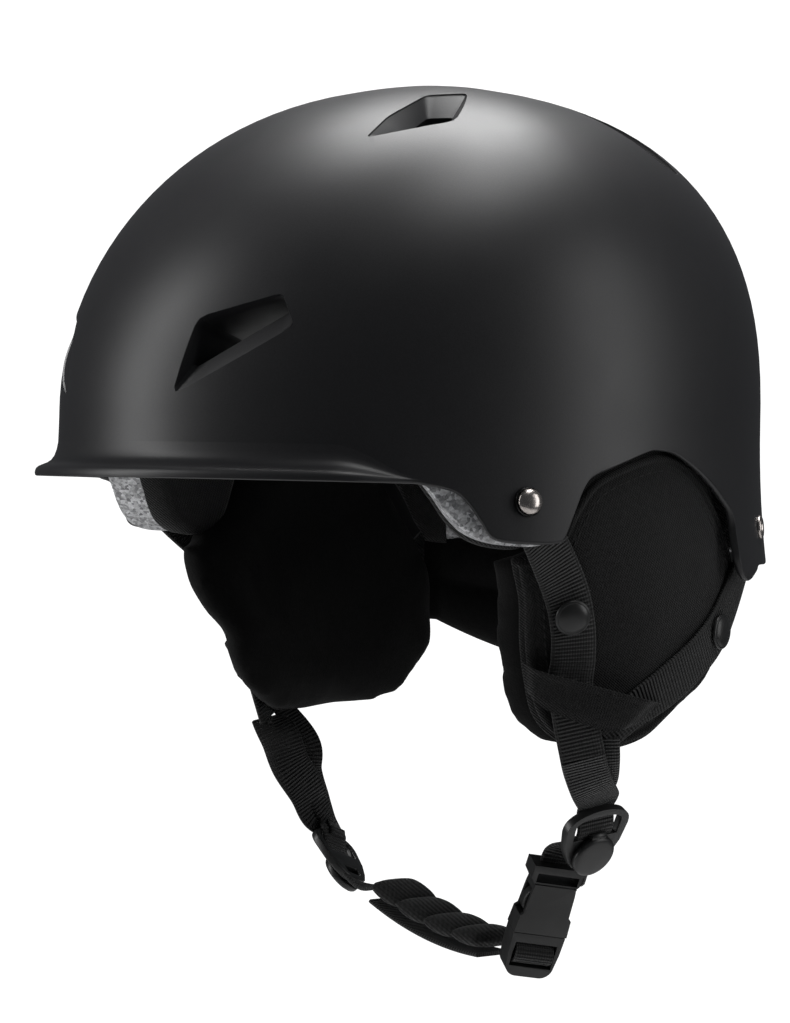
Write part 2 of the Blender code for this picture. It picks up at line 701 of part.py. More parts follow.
def cushion_ring(side, scale, depth):
    """Ring of the cushion behind the panel; it reaches further back low down, behind the ear."""
    middle = Vector((*PANEL_MIDDLE, 0.0))
    ring = []
    for y, z in PANEL_OUTLINE:
        y += CUSHION_REAR * smooth_step((y - middle.x) / 35) * smooth_step((-z - 20) / 40)
        y = min(y, 71.0)
        z = min(z, 17.5)
        if y < 0 and z > -24:
            y += 0.25 * depth
        place = middle + (Vector((y, z, 0)) - middle) * scale
        point = pad_point(side, place.x, place.y, PANEL_THICKNESS + 1.0)
        ring.append(point - Vector((side * depth, 0, 0)))
    return ring


def build_ear_pads(finish):
    for side, word in SIDE_NAMES.items():
        panel = [pad_ring(side, scale, depth) for scale, depth in
                 ((0.45, 0), (0.97, 0), (1.0, 0.8), (1.0, PANEL_THICKNESS), (0.5, PANEL_THICKNESS))]
        skin = loft(panel, pad_middle(side, 0), pad_middle(side, PANEL_THICKNESS))
        solid(f"ear_panel_{word}", skin, finish["knit"])
        thick = CUSHION_THICKNESS
        cushion = [cushion_ring(side, scale, depth) for scale, depth in
                   ((0.5, 0), (1.0, 0), (1.03, 4), (1.0, thick - 5), (0.88, thick - 1), (0.5, thick))]
        skin = loft(cushion, centre_of(cushion[0]), centre_of(cushion[-1]))
        solid(f"ear_cushion_{word}", skin, finish["fleece"])
        build_pocket(side, word, finish["knit"])


def build_pocket(side, word, finish):
    """Folded flap across the foot of the panel, outside the straps."""
    top = ((-18, -57.5), (-12.7, -59.9), (-2.4, -63.4), (12.1, -67.8), (27.4, -72.2))
    foot = ((-15, -67), (-10, -72), (-1, -76), (8.4, -79.8), (17.5, -80))
    outer, inner, count = [], [], 8
    for k in range(count + 1):
        share = k / count * (len(top) - 1)
        i = min(int(share), len(top) - 2)
        part = share - i
        up = Vector(top[i]).lerp(Vector(top[i + 1]), part)
        down = Vector(foot[i]).lerp(Vector(foot[i + 1]), part)
        for row, ring_depth in ((outer, -POCKET_DEPTH - POCKET_THICKNESS), (inner, -POCKET_DEPTH)):
            line = []
            for j in range(4):
                place = up.lerp(down, j / 3)
                line.append(pad_point(side, place.x, place.y, ring_depth))
            row.append(line)
    rings = [a + b[::-1] for a, b in zip(outer, inner)]
    solid(f"ear_pocket_{word}", loft(rings, centre_of(rings[0]), centre_of(rings[-1])), finish)


# ---------------------------------------------------------------- straps and their hardware

def ribbon(path, normals, width, thickness, widths=None):
    """Skin of flat webbing along a path; normals is one direction or one for each point."""
    rings = []
    for k, point in enumerate(path):
        along = (path[min(k + 1, len(path) - 1)] - path[max(k - 1, 0)]).normalized()
        normal = normals if isinstance(normals, Vector) else normals[k]
        normal = (normal - normal.dot(along) * along).normalized()
        half = (widths[k] if widths else width) / 2 * along.cross(normal)
        thick = thickness / 2 * normal
        rings.append([point - half - thick, point + half - thick, point + half + thick,
                      point - half + thick])
    return loft(rings)


def strap_upper(side, end):
    """Path and normals of a strap from its anchor to the foot of the ear pad."""
    anchor, stops = {
        "front": (FRONT_ANCHOR, ((-14.5, -33), (-8, -46), (-5, -57), (-3, -68), (5, -90))),
        "rear": (REAR_ANCHOR, ((60.5, -46.5), (46, -57.5), (35, -65.5), (22, -76.5), (13.5, -91))),
    }[end]
    place, out = anchor_frame(anchor, side)
    down = strap_direction(end, side, out)
    middle = place - out * STRAP_SUNK
    points = [middle - down * 9 - out * 0.6, middle, middle + down * 9]
    normals = [out, out, out]
    for y, z in stops:
        lift = 0.5 + WEB_THICKNESS / 2
        if end == "rear":
            lift += STRAP_OVERLAP * smooth_step((-z - 50) / 20)
        points.append(pad_point(side, y, z, -lift))
        normals.append(pad_normal(side, y, z))
    return points, normals


def smooth_strap(points, normals, parts):
    path = smooth_path(points, parts)
    faces = smooth_path(normals, parts)
    return path, [face.normalized() for face in faces]


def strap_lower(side, end):
    """Path and normals of the free strap below the ear pad's foot.

    The front strap runs on into the divider; the rear one lies against it and is sewn to it on the way.
    """
    frame = divider_frame(side)
    upper, normals = strap_upper(side, end)
    start, face = upper[-1], normals[-1]
    along = (upper[-1] - upper[-2]).normalized()
    if end == "rear":
        inner, facing = strap_lower(side, "front")
        points = [point + normal * STRAP_SPACING for point, normal in zip(inner[:3], facing)]
        points[0] = start + along * 7.6
        points.append(points[2].lerp(inner[3] + facing[3] * STRAP_SPACING, 0.35))
        return points, [face] + facing[1:4]
    top = divider_point(side, -DIVIDER_LENGTH / 2 - 1.8, 0, 0)
    foot, head = start + along * 7, top - frame.col[0] * 6
    points = [start + along * 2.8, foot, foot.lerp(head, 0.5), head, top]
    first, last = along.cross(face), frame.col[0].cross(frame.col[2])
    facing = []
    for k in range(5):
        run = points[min(k + 1, 4)] - points[max(k - 1, 0)]
        facing.append(first.lerp(last, k / 4).cross(run).normalized())
    return points, facing


def divider_frame(side):
    """Length, width and outward directions of a divider."""
    lean = {LEFT: Vector((-0.50, 0.17, -0.84)), RIGHT: Vector((0.74, 0.0, -0.67))}[side]
    across = {LEFT: Vector((0.14, 0.93, 0.22)), RIGHT: Vector((-0.22, 0.88, -0.36))}[side]
    frame = frame_of(lean, across)
    if frame.col[2].x * side < 0:
        frame = frame_of(lean, -across)
    return frame


def divider_point(side, along, across, out):
    return DIVIDER_PLACE[side] + divider_frame(side) @ Vector((along, across, out))


def build_straps(finish):
    web = finish["webbing"]
    swing = pivot_at("chin_swing_axis", Vector((0, 26, SWING_AXIS_Z)))
    for side, word in SIDE_NAMES.items():
        for end, anchor in (("front", FRONT_ANCHOR), ("rear", REAR_ANCHOR)):
            points, normals = strap_upper(side, end)
            path, faces = smooth_strap(points, normals, 3)
            strap = solid(f"strap_{end}_{word}", ribbon(path, faces, WEB_WIDTH, WEB_THICKNESS), web)
            place, out = anchor_frame(anchor, side)
            hole = turned(place - out * 8, out, [(SHANK_HOLE, 0), (SHANK_HOLE, 6)], 12)
            cut(strap, cutter(f"cut_{end}_strap_{word}", hole))
            points, normals = strap_lower(side, end)
            path, faces = smooth_strap(points, normals, 3)
            drop = solid(f"strap_drop_{end}_{word}", ribbon(path, faces, WEB_WIDTH, WEB_THICKNESS), web)
            under(swing, drop)
    build_snaps(finish)
    build_dividers(finish, swing)
    build_chin(finish, swing)


def build_snaps(finish):
    profile = [(0, 0), (SNAP_RADIUS - 0.8, 0), (SNAP_RADIUS, 0.7), (SNAP_RADIUS - 0.5, 1.5),
               (SNAP_RADIUS * 0.6, SNAP_RISE), (0, SNAP_RISE + 0.15)]
    for side, word in SIDE_NAMES.items():
        for end, (y, z) in (("front", (-9.3, -43)), ("rear", (57.5, -49.5))):
            out = pad_normal(side, y, z)
            place = pad_point(side, y, z, -(0.5 + WEB_THICKNESS + 0.45))
            solid(f"snap_{end}_{word}", turned(place, out, profile, 14), finish["hardware"])


def divider_outline():
    """Outer outline of the divider: a broad rounded arch over a narrower foot, (along, across)."""
    half, reach = DIVIDER_WIDTH / 2, DIVIDER_LENGTH / 2
    arch = []
    for k in range(9):
        turn = math.pi * k / 8
        arch.append((-reach + 7 - 7 * math.sin(turn), -half * math.cos(turn)))
    foot = [(reach - 3, half - 4.5), (reach, half - 6.5), (reach, -half + 6.5), (reach - 3, -half + 4.5)]
    return arch + foot


def build_dividers(finish, swing):
    plain = finish["hardware"]
    half = DIVIDER_THICKNESS / 2
    reach = DIVIDER_LENGTH / 2
    for side, word in SIDE_NAMES.items():
        frame, place = divider_frame(side), DIVIDER_PLACE[side]
        body = solid(f"divider_{word}", plate(place, frame, divider_outline(), -half, half), plain)
        window = [(-reach + 2.4, -6.5), (-reach + 2.4, 6.5), (-1.5, 8.2), (-1.5, -8.2)]
        slot = [(reach - 6.0, -4.4), (reach - 6.0, 4.4), (reach - 2.6, 4.0), (reach - 2.6, -4.0)]
        for key, outline in (("window", window), ("slot", slot)):
            cut(body, cutter(f"cut_{key}_{word}", plate(place, frame, outline, -4, 4)))
        hinge = place + frame @ Vector((6.0 - LEVER_RADIUS, 0, half + GAP + 0.8))
        lever_axis = pivot_at(f"lever_{word}_axis", hinge)
        lever = lever_skin(side)
        under(swing, body)
        under(lever_axis, solid(f"divider_lever_{word}", lever, plain))


def lever_skin(side):
    """Round locking cap in front of the divider."""
    frame, half = divider_frame(side), DIVIDER_THICKNESS / 2
    centre = DIVIDER_PLACE[side] + frame @ Vector((6.0, 0, half + GAP))
    out = frame.col[2]
    profile = [(0, 0), (LEVER_RADIUS - 0.8, 0), (LEVER_RADIUS, 0.8), (LEVER_RADIUS, 1.9),
               (LEVER_RADIUS - 0.9, 2.7), (0, 3.1)]
    return turned(centre, out, profile, 18)


# ---------------------------------------------------------------- buckle and chin pad

def buckle_frame():
    frame = frame_of(BUCKLE_AXIS, BUCKLE_ACROSS)
    return frame if frame.col[2].x > 0 else frame_of(BUCKLE_AXIS, -BUCKLE_ACROSS)


def buckle_block(low, high):
    return block(BUCKLE_TOP, buckle_frame(), low, high)


def female_outline():
    """Waisted outline of the buckle's socket, (along, across), on one side then the other."""
    half = BUCKLE_WIDTH / 2
    edge = [(0, half), (4.5, half), (7.5, half - 2.2), (10, half - 1.9), (18.5, half - 1.5), (19.5, half - 0.4),
            (FEMALE_LENGTH, half)]
    return edge + [(along, -across) for along, across in reversed(edge)]


def build_female(finish):
    half = BUCKLE_THICKNESS / 2
    body = solid("buckle_female", plate(BUCKLE_TOP, buckle_frame(), female_outline(), -half, half),
                 finish["hardware"])
    cuts = {
        "web_slot": ((3.2, -7.9, -5), (6.6, 7.9, 5)),
        "socket": ((9.6, -7.3, -2.5), (FEMALE_LENGTH + 2, 7.3, 2.5)),
        "windows": ((11.5, -12, -2.0), (18.5, 12, 2.0)),
    }
    for name, (low, high) in cuts.items():
        cut(body, cutter(f"cut_{name}", buckle_block(low, high)))
    return body


def build_male(finish, slide):
    plain = finish["hardware"]
    half, wide = BUCKLE_THICKNESS / 2 - 0.2, BUCKLE_WIDTH / 2
    start, end = FEMALE_LENGTH + GAP, FEMALE_LENGTH + MALE_LENGTH
    outline = [(start, wide - 0.2), (start + 7, wide - 0.4), (end - 4.5, wide - 1.2), (end - 1, wide - 3.5),
               (end, wide - 6)]
    outline += [(along, -across) for along, across in reversed(outline)]
    frame = buckle_frame()
    body = solid("buckle_male", plate(BUCKLE_TOP, frame, outline, -half, half), plain)
    tongue = cutter("join_tongue", block(BUCKLE_TOP, frame, (start - 13, -1.7, -1.5), (start + 1, 1.7, 1.5)))
    cut(body, tongue, operation="UNION")
    cut(body, cutter("cut_male_slot", buckle_block((start + 6.0, -7.9, -6), (start + 11.5, 7.9, 6))))
    under(slide, body)
    for side, word in ((1, "rear"), (-1, "front")):
        sign = side if frame.col[1].y > 0 else -side
        seat = block(BUCKLE_TOP, frame, (start - 1, min(sign * 3.4, sign * 7.4), -1.9),
                     (start + 1.6, max(sign * 3.4, sign * 7.4), 1.9))
        cut(body, cutter(f"cut_arm_seat_{word}", seat))
        root = BUCKLE_TOP + frame @ Vector((start + 0.8, sign * 5.4, 0))
        axis = pivot_at(f"arm_{word}_axis", root)
        edge = [(1.0, 4.7), (-2, 4.6), (-7.4, 4.6), (-13.4, 4.4), (-14.4, 5.2), (-13.6, 6.6), (-10.5, 6.9),
                (-7.6, 6.8), (-6.8, 5.9), (-2, 6.2), (1.0, 6.3)]
        outline = [(start + along - 0.2, sign * across) for along, across in edge]
        under(axis, solid(f"buckle_arm_{word}", plate(BUCKLE_TOP, frame, outline, -1.5, 1.5), plain))


def chin_path(start, end, parts, drop=CHIN_PAD_SAG):
    """Hanging run from start to end, lowest in between."""
    path = []
    for k in range(parts + 1):
        share = k / parts
        point = start.lerp(end, share)
        point.z -= drop * 4 * share * (1 - share)
        path.append(point)
    return path


def chin_normals(path):
    normals = []
    for k in range(len(path)):
        along = path[min(k + 1, len(path) - 1)] - path[max(k - 1, 0)]
        normals.append(along.cross(Vector((0, 1, 0))).normalized())
    return normals


def build_chin(finish, swing):
    web, plain = finish["webbing"], finish["hardware"]
    female = build_female(finish)
    under(swing, female)
    left, frame = divider_frame(LEFT), buckle_frame()
    start = divider_point(LEFT, 4.5, 0, -DIVIDER_THICKNESS / 2 - 3.6)
    end = BUCKLE_TOP - BUCKLE_AXIS * 1.2
    bow = start.lerp(end, 0.45) + Vector((0, 0, 3.2))
    faces = [left.col[0] * -1, Vector((0, 0, 1)), frame.col[2] * -1]
    path, faces = smooth_strap([start, bow, end - BUCKLE_AXIS * 2.5, end], faces + faces[-1:], 4)
    under(swing, solid("strap_female", ribbon(path, faces, WEB_WIDTH - 2, WEB_THICKNESS), web))
    slide = pivot_at("buckle_release_start", BUCKLE_TOP + BUCKLE_AXIS * FEMALE_LENGTH)
    build_male(finish, slide)
    build_chin_pad(finish, slide)
    start = divider_point(RIGHT, DIVIDER_LENGTH / 2 + 4.4, 0, 0)
    far = CHIN_PAD_ENDS[1]
    end = far + (far - CHIN_PAD_ENDS[0]).normalized() * 0.6 + Vector((0, 0, 1.2))
    path = [start, start.lerp(end, 0.5) - Vector((0, 0, 1.0)), end]
    faces = [divider_frame(RIGHT).col[2] * -1, Vector((0.3, 0, 1)), Vector((0.2, 0, 1))]
    path, faces = smooth_strap(path, faces, 3)
    under(slide, solid("strap_chin", ribbon(path, faces, WEB_WIDTH - 1, WEB_THICKNESS), web))


def build_chin_pad(finish, slide):
    """Quilted sleeve with four swellings, its webbing tail and the keeper loop."""
    path = chin_path(*CHIN_PAD_ENDS, 16)
    normals = chin_normals(path)
    rings = []
    for k, (point, normal) in enumerate(zip(path, normals)):
        swell = abs(math.sin(math.pi * k / 4))
        side_step = Vector((0, 1, 0))
        half = CHIN_PAD_WIDTH / 2 * (0.86 + 0.14 * swell)
        thick = CHIN_PAD_THICKNESS / 2 * (0.55 + 0.45 * swell)
        rings.append([point + side_step * half * math.cos(turn) + normal * thick * math.sin(turn)
                      for turn in (math.tau * i / 10 for i in range(10))])
    under(slide, solid("chin_pad", loft(rings), finish["knit"], 60))
    tail = chin_path(CHIN_PAD_ENDS[0] + Vector((-4, 0, -5.6)), CHIN_PAD_ENDS[1] + Vector((-3, 0, -6.8)), 8)
    under(slide, solid("strap_tail", ribbon(tail, chin_normals(tail), WEB_WIDTH, WEB_THICKNESS),
                       finish["webbing"]))


def main():
    for item in list(bpy.data.objects):
        bpy.data.objects.remove(item)
    finish = palette()
    build_shell(finish)
    build_anchors(finish)
    build_padding(finish)
    build_nape_pad(finish)
    build_dial(finish)
    build_ear_pads(finish)
    build_straps(finish)


main()
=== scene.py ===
"""Looks of the sports helmet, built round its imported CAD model.

Sizes are millimetres in the code and metres in the meshes.  The wearer looks along -Y, the wearer's
left is +X and up is +Z.
"""

import json
import math

import bmesh
import bpy
from mathutils import Matrix, Vector

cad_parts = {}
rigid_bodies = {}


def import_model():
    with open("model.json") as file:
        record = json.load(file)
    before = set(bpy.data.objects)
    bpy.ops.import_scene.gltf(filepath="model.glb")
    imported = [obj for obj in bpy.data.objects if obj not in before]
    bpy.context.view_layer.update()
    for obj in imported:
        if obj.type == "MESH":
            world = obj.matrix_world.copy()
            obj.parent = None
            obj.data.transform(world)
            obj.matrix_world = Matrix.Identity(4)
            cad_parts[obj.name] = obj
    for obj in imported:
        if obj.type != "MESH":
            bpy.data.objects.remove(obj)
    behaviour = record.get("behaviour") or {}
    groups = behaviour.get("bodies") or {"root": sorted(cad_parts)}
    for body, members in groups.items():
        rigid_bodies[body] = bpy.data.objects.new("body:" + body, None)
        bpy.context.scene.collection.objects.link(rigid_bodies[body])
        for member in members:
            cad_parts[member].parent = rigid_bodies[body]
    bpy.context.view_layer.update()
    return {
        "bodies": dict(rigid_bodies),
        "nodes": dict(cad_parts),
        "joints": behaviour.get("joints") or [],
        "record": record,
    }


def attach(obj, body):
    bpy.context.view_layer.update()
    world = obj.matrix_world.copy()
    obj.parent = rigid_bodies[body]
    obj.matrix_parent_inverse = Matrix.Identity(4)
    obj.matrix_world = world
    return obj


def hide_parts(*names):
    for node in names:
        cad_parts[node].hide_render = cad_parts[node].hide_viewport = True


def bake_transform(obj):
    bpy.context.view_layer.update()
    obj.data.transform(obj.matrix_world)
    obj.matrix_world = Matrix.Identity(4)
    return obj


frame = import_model()

MM = 0.001
LEFT, RIGHT = 1, -1
SIDE_NAMES = {LEFT: "left", RIGHT: "right"}
HALF_WIDTH = 110.2
FRONT_REACH = 128.5
BACK_REACH = 132.4
CROWN_HEIGHT = 135.2
EQUATOR = 20.8
PLAN_POWER = 1.95
FRONT_POWER, SIDE_POWER, BACK_POWER = 1.88, 2.42, 2.61
SKIRT_FLARE = 0.028
SHELL_THICKNESS = 2.5
BRIM_REACH = 7.2
BRIM_RISE = 10.0
BRIM_END = 53.0
SHELL_EDGE = (
    (0, -2.2), (46, -2.2), (53, -2.8), (57.7, -4.8), (60.1, -8.8), (62.1, -14.2), (64.5, -19.4),
    (71.4, -20.5), (75.1, -20.1), (76.6, -18.2), (78.7, -9.8), (80.3, -3.3), (82.2, 0.9), (86.2, 4.0),
    (94.6, 9.6), (97.7, 10.1), (102.2, 9.0), (109.6, 2.9), (116, -4.3), (120.2, -10.5), (121.4, -19.3),
    (122.1, -26.1), (123.8, -31), (126.6, -32.5), (131, -30), (136, -27.5), (158, -28.5), (180, -29),
)
LINER_GAP = 0.4
LINER_THICKNESS = 21.0
LINER_OUTSIDE = SHELL_THICKNESS + 0.5
LINER_INSIDE = LINER_OUTSIDE + LINER_THICKNESS
LINER_EDGE = (
    (0, 4), (42, 4), (50, 0), (54, -7), (57, -14), (60.5, -19.5), (66, -22.5), (73, -22.5), (77, -17),
    (80, -2), (83, 14), (88, 25), (97, 28.5), (108, 23), (116, 13), (121, 7), (126, -4), (131, -20),
    (137, -25), (180, -25),
)
FRONT_ANCHOR = (69.8, -7.1)
REAR_ANCHOR = (136.3, -14.4)
RIVET_RADIUS = 4.1
SHANK_RADIUS = 1.8
SHANK_HOLE = 2.2
STRAP_SUNK = 4.9
EYELET_RADIUS = 4.0
EYELET_BORE = 1.2
WEB_WIDTH = 15.0
WEB_THICKNESS = 1.5
STRAP_OVERLAP = 2.3
PAD_INSET = 4.6
PAD_FOOT_DEPTH = 86.0
PAD_FOOT_X = 93.0
PAD_WRAP_FRONT, PAD_WRAP_REAR = 40.0, 150.0
PAD_WRAP_CENTRE = 28.0
PANEL_THICKNESS = 3.0
CUSHION_THICKNESS = 17.0
CUSHION_REAR = 15.0
PANEL_OUTLINE = (
    (18, 20), (34, 16.5), (47, 8), (55, -4), (61, -15), (66, -26), (69, -37), (66, -50), (56, -62),
    (46, -71), (36, -78.5), (26, -85), (12, -88.5), (-2, -86), (-10.5, -78), (-16, -66), (-20.5, -54),
    (-25, -40), (-30, -30), (-31, -26), (-22, -24.5), (-17.5, -10), (-11, 8), (2, 17.5),
)
PANEL_MIDDLE = (21.0, -36.0)
POCKET_DEPTH = 5.0
SNAP_RADIUS = 6.0
DIVIDER_PLACE = {LEFT: Vector((68.5, 26.0, -119.5)), RIGHT: Vector((-69.5, 26.0, -142.0))}
DIVIDER_WIDTH = 26.0
DIVIDER_LENGTH = 24.0
DIVIDER_THICKNESS = 3.0
LEVER_RADIUS = 8.2
BUCKLE_TOP = Vector((52.0, 26.0, -130.5))
BUCKLE_AXIS = Vector((-0.40, 0.0, -0.917)).normalized()
BUCKLE_ACROSS = Vector((0.34, 0.93, -0.15))
BUCKLE_WIDTH = 19.6
BUCKLE_THICKNESS = 8.4
FEMALE_LENGTH = 26.0
MALE_LENGTH = 17.0
CHIN_PAD_ENDS = (Vector((22.5, 26.0, -160.5)), Vector((-39.5, 26.0, -148.0)))
CHIN_PAD_SAG = 3.0
CHIN_PAD_WIDTH = 22.0
CHIN_PAD_THICKNESS = 7.0

# Webbing material, in metres: pitch of its ribs, of its threads, and where its plain selvage starts
RIB_PITCH, THREAD_PITCH, SELVAGE = 0.0013, 0.0009, 0.0064

# Webbing as drawn: width of its rounded edge in mm, and parts between two points of its path
WEB_EDGE, STRAP_PARTS = 0.5, 8

# How far the drawn liner's edge sits above the line of LINER_EDGE
LINER_LIFT = 1.8

# Hinge of each divider's lever: along from the divider's middle and above its face, and the barrel on it
HINGE_ALONG, HINGE_ABOVE = -2.2, 1.1
BARREL_RADIUS, BARREL_LENGTH = 1.3, 6.0

# Where the right cushion bulges forward: (place on the pad, how far round it, how much)
FRONT_FULLNESS = (((-14, -38), 50, 17.0), ((-10, -66), 36, 12.0))

# Visible radius of the ring round each front rivet; the ring is coloured dark as painted shadow of the recess
# round the rivet's head
RING_RADIUS = 4.7

# How deep the vents' inner walls run, through the liner
VENT_REACH = 23.0

# Chamfer round each vent's mouth: its size as a share of the mouth, and its depth
VENT_LIP, LIP_DEPTH = 0.985, 0.55

# Comfort pads: steps along and across, share of the border that is welded flat, and fullness
PAD_STEPS_ALONG, PAD_STEPS_ACROSS, PAD_BORDER, PAD_FULLNESS = 44, 18, 0.09, 7.0

# Angles in degrees under which a soft skin shades smooth and over which a moulded edge is rounded
SOFT_ANGLE, EDGE_ANGLE = 80, 32.0

# The collar behind the head: its span in degrees and where the seam parts its two channels
NAPE_START, NAPE_SPAN, NAPE_SEAM = 134, 94, 0.52

# Filling of the ear cushions: grain of the skin in mm, steps, pressure, and the most it may swell in mm
FILL_GRAIN, FILL_STEPS, FILL_PRESSURE, FILL_CAP = 3.2, 14, 4.0, 2.6

# Stitches round the ear knit: length, gap and radius
STITCH_LENGTH, STITCH_GAP, STITCH_RADIUS = 2.1, 1.0, 0.28

# Linings over the liner's edge: (place, degrees from the front, how far it wraps under)
LININGS = (("temple", (30, 84), 8.5), ("arch", (104, 142), 19.5))

# How far the far drop straps have already turned where they leave the ear pad
FAR_STRAP_TURN = 0.5

# Share of the flap's length that is tucked out of sight at its front end, on each side
FLAP_TUCKED = {1: 0.0, -1: 0.2}

# Camera: degrees round from the front, of rise and of roll; distance and height aimed at, in metres
CAMERA_TURN, CAMERA_RISE, CAMERA_ROLL = 50.96, 0.459, 1.258
CAMERA_DISTANCE, CAMERA_HEIGHT = 1.0, -0.01174

# Lens: length in mm, and sideways shift as a share of the picture's height
LENS, LENS_SHIFT = 100.7, -0.0159335

# Light: the world's own, the white behind the helmet, and the soft boxes as
# (name, (up, towards the camera, to its right), height aimed at, size, power), in metres
AMBIENT, BACKDROP = 0.06, 1.15
TOWARDS_CAMERA, CAMERA_RIGHT = Vector((0.777, -0.630, 0)), Vector((0.630, 0.777, 0))
SOFTBOXES = (
    ("top", (1.20, -0.44, 0.04), 0.05, (0.74, 0.70), 15.0),
    ("top_front", (1.30, 0.05, 0.40), 0.05, (1.0, 0.5), 8.5),
    ("left", (0.36, 0.24, -1.34), 0.04, (0.42, 1.5), 11.0),
    ("right", (0.25, 0.40, 1.30), 0.0, (0.60, 1.3), 5.6),
)
FLOOR_RADIUS, FLOOR_HEIGHT = 1.15, -0.70

# (reach, rise, height over the edge, depth inwards) round the brim's or the plain edge's section
BRIM_SECTION = (
    (0.00, 1.00, 1.6, 0.0), (0.05, 0.76, 1.5, 0.0), (0.14, 0.56, 1.4, 0.0), (0.28, 0.42, 1.3, 0.0),
    (0.46, 0.34, 1.2, 0.0), (0.66, 0.29, 1.1, 0.02), (0.84, 0.26, 0.8, 0.1), (0.95, 0.22, 0.5, 0.25),
    (0.995, 0.15, 0.3, 0.45), (1.0, 0.09, 0.15, 0.7), (0.97, 0.03, 0.03, 1.0), (0.90, 0.0, 0.0, 1.25),
    (0.70, 0.02, 0.03, 1.6), (0.40, 0.08, 0.15, 1.9), (0.10, 0.18, 0.4, 2.2), (0.0, 0.30, 0.9, 2.5),
)
# vents on the left: mouth and throat as (degrees from the front, degrees of rise), and depth
VENT_SHAPES = {
    "brow": (((14.1, 1.8), (16.8, 14.9), (30.0, 18.0), (32.5, 12.4)),
             ((15.9, 6.4), (17.0, 14.6), (29.8, 17.7), (31.9, 16.0)), 4.0),
    "crown": (((38.1, 49.6), (42.0, 56.8), (53.1, 66.8), (69.8, 68.3), (60.2, 54.0)),
              ((45.2, 52.6), (47.2, 55.4), (53.4, 62.3), (62.6, 62.6), (56.2, 54.0)), 5.5),
    "rear": (((137.0, 66.0), (122.0, 65.0), (125.0, 46.0), (131.5, 43.5)),
             ((134.5, 64.0), (125.0, 63.2), (127.0, 49.0), (130.5, 47.5)), 6.0),
}
POCKET_TOP = ((-19, -57.5), (-12.7, -59.9), (-2.4, -63.4), (12.1, -67.8), (27.8, -72.2))
POCKET_FOOT = ((-15.5, -67), (-10, -72), (-2, -76), (8.4, -79.8), (18.5, -80))
# the knit's own edge inside the panel, point for point with the panel's outline
KNIT_EDGE = (
    (18, 8.9), (31, 7.2), (42, 1.5), (52, -6), (61, -14), (69.5, -24), (72.5, -36), (67, -49.5), (55, -61.3),
    (45.2, -70), (35.3, -77.3), (25.6, -83.6), (12, -87.1), (-1.3, -84.7), (-9.3, -77.2), (-14.7, -65.5),
    (-19.2, -53.6), (-23.8, -39.6), (-28.6, -29.6), (-29.4, -26.6), (-20.8, -23.2), (-16, -9.5), (-10, -0.6),
    (2, 5),
)


def loft(rings, start=None, end=None):
    """Vertices and faces of a skin over closed rings; start and end are tip points or None."""
    count = len(rings[0])
    points = [point for ring in rings for point in ring]
    faces = []
    for row in range(len(rings) - 1):
        for i in range(count):
            j = (i + 1) % count
            faces.append((row * count + i, row * count + j, (row + 1) * count + j, (row + 1) * count + i))
    for tip, first in ((start, 0), (end, (len(rings) - 1) * count)):
        if tip is None:
            faces.append(tuple(range(first, first + count)))
            continue
        points.append(tip)
        faces += [(first + i, first + (i + 1) % count, len(points) - 1) for i in range(count)]
    return points, faces


def centre_of(ring):
    return sum(ring, Vector()) / len(ring)


def capped(rings):
    """Skin over rings, closed at both ends round the end ring's middle."""
    return loft(rings, centre_of(rings[0]), centre_of(rings[-1]))


def circle(centre, normal, radius, count):
    across = normal.orthogonal().normalized()
    other = normal.cross(across).normalized()
    steps = [math.tau * i / count for i in range(count)]
    return [centre + radius * (math.cos(t) * across + math.sin(t) * other) for t in steps]


def turned(centre, axis, profile, count=20, bore=False):
    """Skin of a turned piece; profile holds (radius, distance along axis) from one end to the other."""
    axis = axis.normalized()
    rings = [circle(centre + axis * along, axis, radius, count) for radius, along in profile if radius > 0]
    if bore:
        points, faces = loft(rings)
        faces = faces[:-2]
        last = (len(rings) - 1) * count
        faces += [(last + i, last + (i + 1) % count, (i + 1) % count, i) for i in range(count)]
        return points, faces
    tips = [centre + axis * profile[k][1] if profile[k][0] == 0 else None for k in (0, -1)]
    return loft(rings, *tips)


def frame_of(axis, across):
    """Matrix whose columns are a part's length, width and thickness directions."""
    axis = axis.normalized()
    across = (across - across.dot(axis) * axis).normalized()
    return Matrix((axis, across, axis.cross(across))).transposed()


def block(origin, frame, low, high):
    """Skin of a box between two corners given in a part's own directions."""
    corners = []
    for x in (low[0], high[0]):
        ring = [(x, low[1], low[2]), (x, high[1], low[2]), (x, high[1], high[2]), (x, low[1], high[2])]
        corners.append([origin + frame @ Vector(point) for point in ring])
    return loft(corners)


def plate(origin, frame, outline, low, high):
    """Skin of a plate; outline lies in the first two directions and the thickness in the third."""
    rings = [[origin + frame @ Vector((u, v, w)) for u, v in outline] for w in (low, high)]
    return loft(rings)


def smooth_step(value):
    value = min(max(value, 0.0), 1.0)
    return value * value * (3 - 2 * value)


def dome_point(angle, level, inset=0.0):
    """Dome point; level is degrees of rise, or millimetres below the equator when negative."""
    turn = math.radians(angle)
    across, along = math.sin(turn), -math.cos(turn)
    reach = (FRONT_REACH if along < 0 else BACK_REACH) - inset
    half = HALF_WIDTH - inset
    plan = (abs(across / half) ** PLAN_POWER + abs(along / reach) ** PLAN_POWER) ** (-1 / PLAN_POWER)
    if level < 0:
        plan *= 1 + SKIRT_FLARE * (level / 50) ** 2
        return Vector((plan * across, plan * along, EQUATOR + level))
    end_power = FRONT_POWER if along < 0 else BACK_POWER
    power = SIDE_POWER + (end_power - SIDE_POWER) * along ** 2
    out = plan * math.cos(math.radians(level)) ** (2 / power)
    up = (CROWN_HEIGHT - inset - EQUATOR) * math.sin(math.radians(level)) ** (2 / power)
    return Vector((out * across, out * along, EQUATOR + up))


